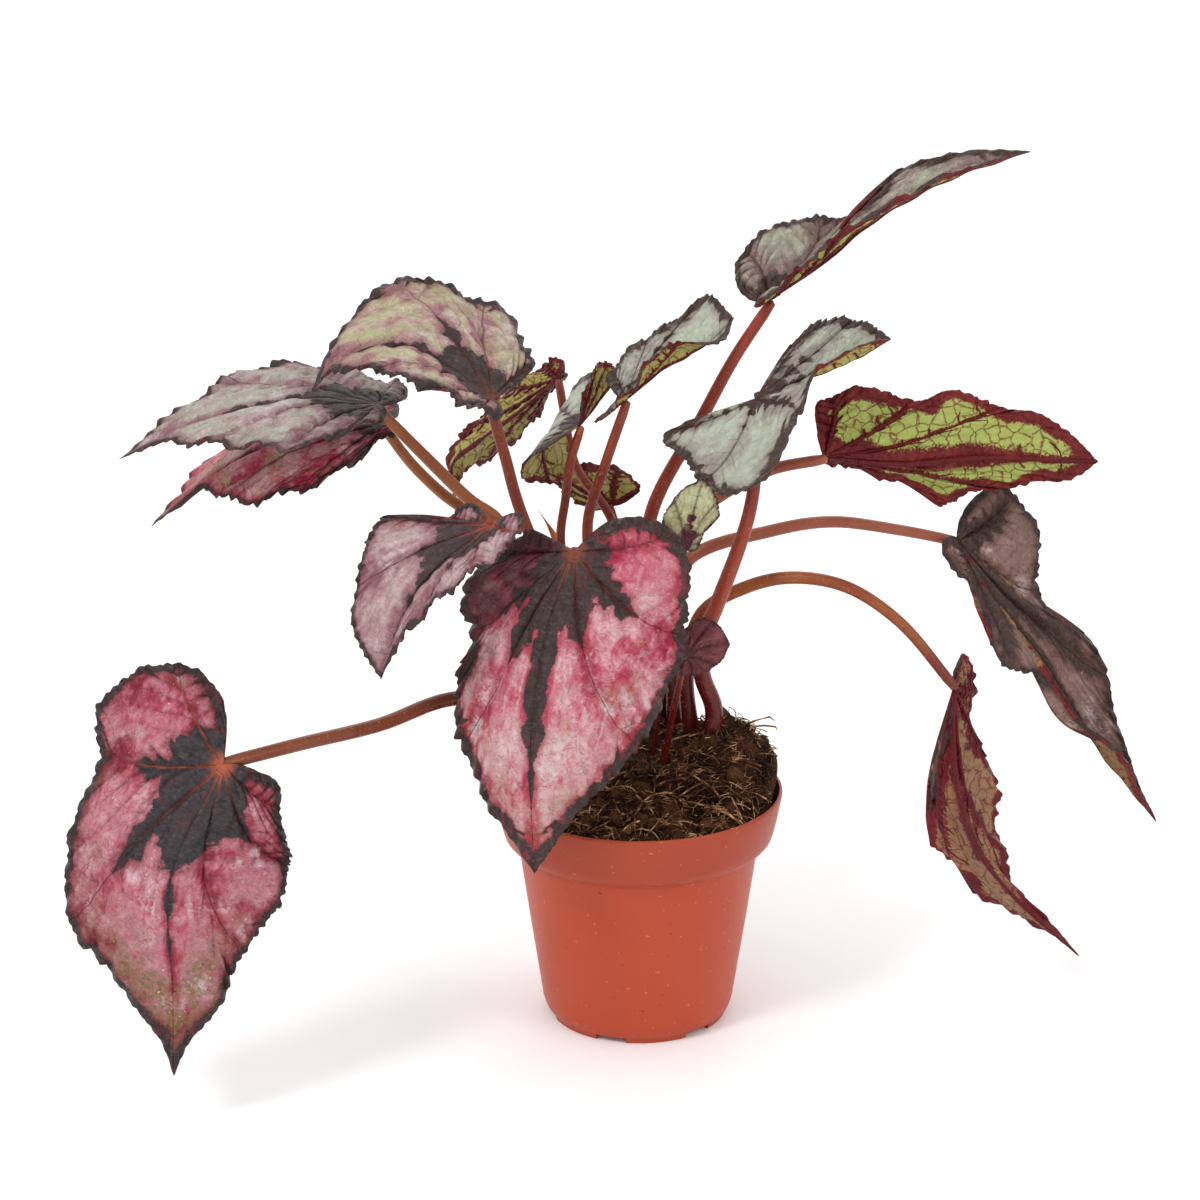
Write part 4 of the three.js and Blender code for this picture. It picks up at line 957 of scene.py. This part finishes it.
def under_face():
    """Dark red veins and ground, with pale patches in the fields between the veins."""
    tree, given, out = group("ShaderNodeTree", "rex_under_face", {
        "Vein": (82, 12, 18), "Patch": (146, 156, 76), "Ground": (88, 18, 20), "Warm": (118, 36, 34),
        "Patching": 1.0, "Clear of margin": 5.5, "Clear of foot": 0.26, "Clear of veins": 1.0,
        "Clear of midrib": 0.0, "Seed": 0.0}, PATTERN)
    v = veins(tree, given["Seed"] * 40.0)
    plane = v.plane
    mottle = noise(plane, 0.5, 4, 0.6)
    blotch = noise(plane, 0.06, 3, 0.6) - 0.5
    comb = noise(plane, 1.0, 3, 0.6) - 0.5
    # pale patches fill the fields between the veins, feathered against the main ones
    main = span(v.main / given["Clear of veins"] + (comb + blotch) * 5.0, 1.3, 2.3)
    inner = abs(v.y) - given["Clear of midrib"] * span(v.rho, 0.5, 0.9, 1.0, 0.3)
    main = main * span(inner + (comb + blotch) * 8.0, -2.0, 0.5)
    rim = span(v.edge - given["Clear of margin"] + blotch * 12.0 + comb * 3.0, -0.5, 0.8)
    foot = v.rho - given["Clear of foot"] - span(v.rho, 0.7, 1.0, 0.0, 0.2)
    foot = span(foot + blotch * 0.4 + comb * 0.1, -0.02, 0.03)
    patch = main * span(v.side, 0.25, 0.6) * rim * foot
    patch = clamped(patch * span(v.net, 0.1, 0.36, comb * 1.6 + 0.25, 1.0) * given["Patching"])
    tint = blend(span(mottle, 0.3, 0.75, 0.0, 0.5), given["Patch"], (178, 182, 112))
    ground = blend(span(mottle + blotch, 0.3, 0.75), given["Ground"], given["Warm"])
    veined = maths("MAXIMUM", line(v.main, 1.1), line(v.side, 0.55) * 0.8)
    connect(blend(veined * 0.85, blend(patch, ground, tint), given["Vein"]), out["Colour"])
    connect(mottle * 0.2 + 0.42, out["Roughness"])
    ribs = line(v.main, 1.5) + line(v.side, 0.9) * 0.6 + line(v.net, 0.7) * 0.35
    connect(ribs + noise(plane, 0.9, 3) * 0.4, out["Height"])
    return tree


def patterned(name, pattern, values, gloss, relief, strength=1.0):
    """A material that has its look from a shared pattern group, with values of its own."""
    made, shader = material(name, 0.4, Specular_IOR_Level=gloss)
    placed_pattern = made.node_tree.nodes.new("ShaderNodeGroup")
    placed_pattern.node_tree = pattern
    for key, value in values.items():
        placed_pattern.inputs[key.replace("_", " ")].default_value = colour_value(value)
    paint(shader, *(Wire(placed_pattern.outputs[key]) for key in PATTERN), relief, strength)
    return made


TONES = {
    "crimson": dict(Flesh=(178, 54, 82), Silver=(208, 156, 166), Deep=(118, 14, 34), Star=(46, 42, 46),
                    Edge=(48, 32, 32), Fleck=(116, 100, 50), Flecking=0.4, Glow=0.9, Olive_tip=1.0,
                    Silvering=0.75, Margin=4.6, Star_size=0.38, Side_reach=0.5, Spike=8.0, Sheen=0.8),
    "rose": dict(Flesh=(200, 76, 102), Silver=(226, 186, 190), Deep=(156, 24, 54), Star=(54, 39, 37),
                 Edge=(56, 38, 36), Flecking=0.4, Glow=0.4, Olive_tip=0.3, Silvering=0.95,
                 Lobe_flush=0.8, Margin=6.0, Star_size=0.28, Midrib_reach=0.8, Side_reach=0.46, Spike=9.0,
                 Shade=0.8, Sheen=0.95),
    # carmine is painted lighter than the leaf's own pink and red: painted light against the shade the leaf
    # lies in
    "carmine": dict(Flesh=(212, 76, 110), Silver=(222, 198, 184), Deep=(160, 24, 62), Star=(70, 30, 38),
                    Edge=(60, 40, 40), Fleck=(168, 168, 104), Flecking=0.8, Silvering=0.75, Margin=3.0,
                    Star_size=0.16, Side_reach=0.4, Spike=3.0, Sheen=0.7),
    "mauve": dict(Flesh=(186, 142, 146), Silver=(212, 196, 192), Deep=(150, 98, 108), Star=(74, 60, 62),
                  Edge=(62, 48, 48), Flecking=0.1, Glow=0.7, Silvering=0.75, Margin=2.8, Star_size=0.42,
                  Spike=6.0, Sheen=0.9),
    "blush": dict(Flesh=(184, 132, 138), Silver=(196, 200, 158), Deep=(146, 94, 100), Star=(60, 48, 44),
                  Edge=(56, 44, 42), Fleck=(168, 178, 110), Flecking=0.7, Glow=0.3, Silvering=0.95,
                  Margin=4.8, Star_size=0.36, Side_reach=0.42, Midrib_reach=0.8, Spike=4.0, Sheen=0.8),
    "silver": dict(Flesh=(172, 136, 138), Silver=(184, 190, 172), Deep=(138, 98, 104), Star=(62, 49, 45),
                   Edge=(62, 46, 41), Flecking=0.1, Glow=0.1, Silvering=0.95, Margin=3.2, Star_size=0.36,
                   Side_reach=0.6, Spike=5.5, Sheen=0.6),
    "pale": dict(Flesh=(178, 180, 164), Silver=(196, 206, 184), Deep=(156, 144, 138), Star=(70, 57, 50),
                 Edge=(72, 57, 50), Flecking=0.1, Silvering=1.0, Margin=4.4, Star_size=0.14, Side_reach=0.55,
                 Midrib_reach=0.7, Spike=2.2, Sheen=0.4),
    "grey": dict(Flesh=(166, 146, 142), Silver=(178, 188, 160), Deep=(126, 100, 96), Star=(66, 50, 43),
                 Edge=(64, 46, 40), Flecking=0.5, Fleck=(150, 164, 108), Silvering=0.95, Margin=4.0,
                 Star_size=0.34, Side_reach=0.5, Spike=4.0, Sheen=0.4),
    "dusky": dict(Flesh=(124, 88, 80), Silver=(158, 128, 120), Deep=(88, 54, 46), Star=(66, 46, 40),
                  Edge=(50, 34, 32), Flecking=0.5, Fleck=(96, 88, 62), Silvering=0.7, Margin=3.2,
                  Star_size=0.3, Side_reach=0.8, Midrib_reach=0.9, Spike=8.0, Sheen=0.6),
    "cream": dict(Flesh=(196, 202, 146), Silver=(214, 216, 184), Deep=(168, 160, 120), Star=(84, 24, 36),
                  Edge=(56, 36, 32), Flecking=0.0, Silvering=0.9, Margin=1.2, Star_size=0.3, Side_reach=0.4,
                  Midrib_reach=0.6, Spike=1.2, Sheen=0.0),
    # plum is painted lighter than the young leaf's own dusky red: painted light against the shade it lies in
    # between the leaves
    "plum": dict(Flesh=(146, 80, 84), Silver=(176, 116, 118), Deep=(116, 50, 56), Star=(106, 50, 54),
                 Edge=(58, 22, 26), Flecking=0.0, Silvering=0.6, Margin=1.0, Star_size=0.05, Side_reach=0.2,
                 Midrib_reach=0.3, Spike=0.6, Sheen=0.0),
}
UNDERSIDES = {
    "wine": dict(Patching=0.3, Patch=(112, 62, 42)),
    "maroon": dict(Patching=0.5, Patch=(128, 112, 58)),
    "lime": dict(Patching=0.97, Clear_of_margin=5.5, Clear_of_midrib=6.5),
    "net": dict(Patching=0.92, Patch=(156, 146, 76), Clear_of_margin=3.0, Clear_of_foot=0.12,
                Clear_of_veins=0.75),
    "rust": dict(Patching=0.5, Patch=(160, 122, 92), Ground=(84, 14, 24), Warm=(112, 30, 36),
                 Clear_of_margin=4.5, Clear_of_foot=0.16, Clear_of_midrib=5.0, Clear_of_veins=1.3),
}
upper_pattern, under_pattern = upper_face(), under_face()
feet = {}
for index, (name, leaf) in enumerate(LEAVES.items()):
    upper = {**TONES[leaf["tone"]], "Seed": float(index)}
    under = {**UNDERSIDES[leaf["under"]], "Seed": float(index)}
    upper_stuff = patterned("upper_" + name, upper_pattern, upper, UPPER_GLOSS, BLADE_RELIEF)
    under_stuff = patterned("under_" + name, under_pattern, under, UNDER_GLOSS, BLADE_RELIEF)
    made, foot, up = blade_mesh("blade_" + name, leaf, index * SEED_STEP, [upper_stuff, under_stuff])
    feet[name] = (foot, up)
    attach(made, "root")
    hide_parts("leaf_" + name)
    "blade_" + name

# Stalks: fleshy round leaf stalks, thicker at the foot, with fine streaks and short pale hairs. Each
# grows from the rhizome and ends under the notch of its blade.
SKINS = {
    "tan": dict(Low=(132, 68, 34), High=(160, 96, 54)), "brick": dict(Low=(112, 42, 30), High=(142, 64, 44)),
    "red": dict(Low=(122, 40, 28), High=(152, 62, 42)), "dusty": dict(Low=(134, 64, 48), High=(162, 92, 70)),
    "olive": dict(Low=(58, 44, 24), High=(88, 68, 38)), "amber": dict(Low=(120, 46, 28), High=(146, 80, 36)),
}
SKIN_GLOSS, SKIN_RELIEF, SKIN_STRENGTH = 0.32, 0.0003, 0.6
STALK_SIDES, STALK_RINGS = 16, 70
STALK_CLEAR = 0.4               # a stalk ends this many of its radii below its blade
END_ROUND = 0.6                 # how far its rounded end stands out, in radii
HAIRY = 1.5                     # stalks thicker than this have hairs
HAIR_DENSITY = 70000.0
HAIR_RADIUS = 0.00007
HAIR_TILT_SEED, HAIR_SIZE_SEED = 3, 8


def stalk_skin():
    """Flecked skin between two tones, dark red and shinier at the foot of the stalk."""
    tree, given, out = group("ShaderNodeTree", "stalk_skin", {
        "Low": (120, 50, 32), "High": (150, 76, 48)}, PATTERN)
    where = coordinates(tree)
    fleck = noise(where, 650, 3)
    colour = blend(span(noise(where, 30, 4), 0.3, 0.7), given["Low"], given["High"])
    colour = blend(span(fleck, 0.6, 0.72) * 0.4, colour, (188, 130, 92))
    foot = span(axes(where)[2], 0.13, 0.185, 0.9, 0.0)
    connect(blend(foot, colour, (78, 9, 10)), out["Colour"])
    connect(foot * -0.18 + fleck * 0.25 + 0.28, out["Roughness"])
    connect(fleck, out["Height"])
    return tree


skin = stalk_skin()
skins = {name: patterned("stalk_skin_" + name, skin, tones, SKIN_GLOSS, SKIN_RELIEF, SKIN_STRENGTH)
         for name, tones in SKINS.items()}


def tube(points, radii):
    """Round tube through points with a radius for every share of its length; ends closed and rounded."""
    path = Path(points)
    share = np.linspace(0, 1, STALK_RINGS)
    centre = path.at(share)
    along = unit(np.gradient(centre, axis=0))
    normal = unit(np.cross(along[0], (0.3, 1, 0.2)))
    a = turns(STALK_SIDES)[:, None]
    rows = []
    for k in range(STALK_RINGS):
        normal = unit(normal - along[k] * (normal @ along[k]))
        other = np.cross(along[k], normal)
        rows.append(centre[k] + radii(share[k]) * (np.cos(a) * normal + np.sin(a) * other))
    rows.append(centre[0] - along[0] * radii(0) * END_ROUND)
    rows.append(centre[-1] + along[-1] * radii(1) * END_ROUND)
    return np.vstack(rows), ring_faces(STALK_RINGS, STALK_SIDES)


hair_stuff, shader = material("stalk_hair", 0.5)
paint(shader, blend(noise(coordinates(shader), 300), (206, 150, 120), (232, 200, 176)))


def hairs_tree():
    """Short tapered hairs standing on a surface."""
    tree, given, out = group("GeometryNodeTree", "short_hairs", {
        "Geometry": None, "Density": 60000.0, "Length": 0.0014, "Seed": 1}, {"Geometry": None})
    points = wire(tree, "GeometryNodeDistributePointsOnFaces", {
        "Mesh": given["Geometry"], "Density": given["Density"], "Seed": given["Seed"]})
    standing = Wire(points.socket.node.outputs["Rotation"])
    cone = wire(tree, "GeometryNodeMeshCone", {
        "Vertices": 3, "Radius Top": 0.0, "Radius Bottom": HAIR_RADIUS, "Depth": given["Length"]})
    tilt = drawn(tree, HAIR_TILT_SEED, (-0.7, -0.7, 0), (0.7, 0.7, 3))
    facing = wire(tree, "FunctionNodeRotateRotation", {0: standing, 1: tilt}, rotation_space="LOCAL")
    hairs = wire(tree, "GeometryNodeInstanceOnPoints", {
        "Points": points, "Instance": cone, "Rotation": facing,
        "Scale": drawn(tree, HAIR_SIZE_SEED, 0.4, 1.2)})
    real = wire(tree, "GeometryNodeRealizeInstances", {0: hairs})
    kept = wire(tree, "GeometryNodeSetMaterial", {"Geometry": real, "Material": hair_stuff})
    connect(kept, out["Geometry"])
    return tree


hair_rule = hairs_tree()
for name, leaf in LEAVES.items():
    foot, up = feet[name]
    low, high = leaf["thick"]
    end = foot - up * (BLADE / 2 + STALK_CLEAR * high)

    def girth(s):
        swell = 0.12 * (1 - smoothstep(s, 0, 0.1)) - 0.15 * smoothstep(s, 0.97, 1.0)
        return (low + (high - low) * s) * (1 + swell)

    made = piece("stalk_" + name, *tube(leaf["stalk"] + [tuple(end)], girth), [skins[leaf["skin"]]])
    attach(made, "root")
    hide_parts("petiole_" + name)
    "stalk_" + name
    if low > HAIRY:
        hairs = grow("hairs_" + name, made, hair_rule, hair_stuff, Density=HAIR_DENSITY)
        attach(hairs, "root")
        "stalk_" + name

# Rhizome: the thick knobbly stem base lying on the soil, dark red-brown, with dry papery scale leaves.
# All stalks grow out of it.
CROWN = np.array([3, 15, 109])
CROWN_SIZE = np.array([34, 26, 12])
CROWN_ROWS, CROWN_ROUND = 90, 140
KNOTS = ((8.0, 2.2), (4.5, 1.6), (2.4, 0.9))  # width and height of each grade
KNOT_SUPPLY = 900               # a grade has this number over its width
bark, shader = material("rhizome_bark", 0.5, Specular_IOR_Level=0.2)
where = coordinates(shader)
knots, fine = noise(where, 90, 5), noise(where, 600, 4, 0.65)
colour = blend(span(knots, 0.35, 0.65), (34, 14, 11), (84, 22, 18))
colour = blend(span(fine, 0.5, 0.7), colour, (92, 62, 40))
crusted = span(knots * 0.02 + axes(where)[2], 0.124, 0.129, 1.0, 0.0)
colour = blend(crusted, colour, blend(span(fine, 0.45, 0.62), (30, 17, 10), (96, 64, 40)))
paint(shader, colour, crusted * 0.4 + 0.4, knots + fine * 0.6, 0.0016)
lat = np.linspace(0, pi, CROWN_ROWS + 2)[1:-1]
ball = np.vstack([ring(sin(a), cos(a), CROWN_ROUND) for a in lat])
knob = 1 + 0.05 * np.sin(5 * ball[:, 0]) * np.cos(6 * ball[:, 1])
knob += 0.04 * np.sin(11 * ball[:, 0] + 2) * np.sin(13 * ball[:, 1])
body = CROWN + ball * knob[:, None] * CROWN_SIZE
for size, high in KNOTS:
    for _ in range(int(KNOT_SUPPLY / size)):
        spot = body[dice.integers(len(body))]
        far = ((body - spot) ** 2).sum(1) / (size * dice.uniform(0.5, 1.0)) ** 2
        near = far < 1
        body[near] += ball[near] * (high * dice.uniform(-0.5, 0.7) * (1 - far[near]) ** 0.7)[:, None]
height = np.array([0, 0, CROWN_SIZE[2]])
rhizome = piece("rhizome", np.vstack([body, CROWN + height, CROWN - height]),
                ring_faces(CROWN_ROWS, CROWN_ROUND, flip=True), [bark])
litter = grow("crown_fibres", rhizome, fibre_rule, fibre_stuff, Density=190000.0, Length=0.008,
              Radius=0.00018, Seed=31)
clots = grow("crown_crumbs", rhizome, crumb_rule, peat, Density=130000.0, Ruffle=500.0, Shift=0.0016, Seed=33)
for made in (rhizome, litter, clots):
    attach(made, "root")
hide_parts("crown")

# Stipule: a thin pointed orange scale leaf, dry and paper-like, standing on the rhizome behind the
# front leaf.
STIPULE_LINE = [(-8, 28, 116), (-24, 20, 170), (-34, 12, 204), (-41, 8, 218)]
STIPULE_RADIUS, STIPULE_SWELL = 1.6, 0.9
husk, shader = material("dry_stipule", 0.6)
lines = noise(coordinates(shader), 500, 3, 0.5, (1.0, 1.0, 0.12))
paint(shader, blend(span(lines, 0.3, 0.7), (176, 96, 52), (214, 142, 82)), None, lines, 0.0003)


def stipule_girth(s):
    swell = STIPULE_SWELL * np.exp(-((s - 0.8) / 0.12) ** 2)
    return (STIPULE_RADIUS + swell) * (1 - smoothstep(s, 0.78, 1.0) * 0.93)


stipule = piece("stipule", *tube(STIPULE_LINE, stipule_girth), [husk])
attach(stipule, "root")
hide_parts("bud")
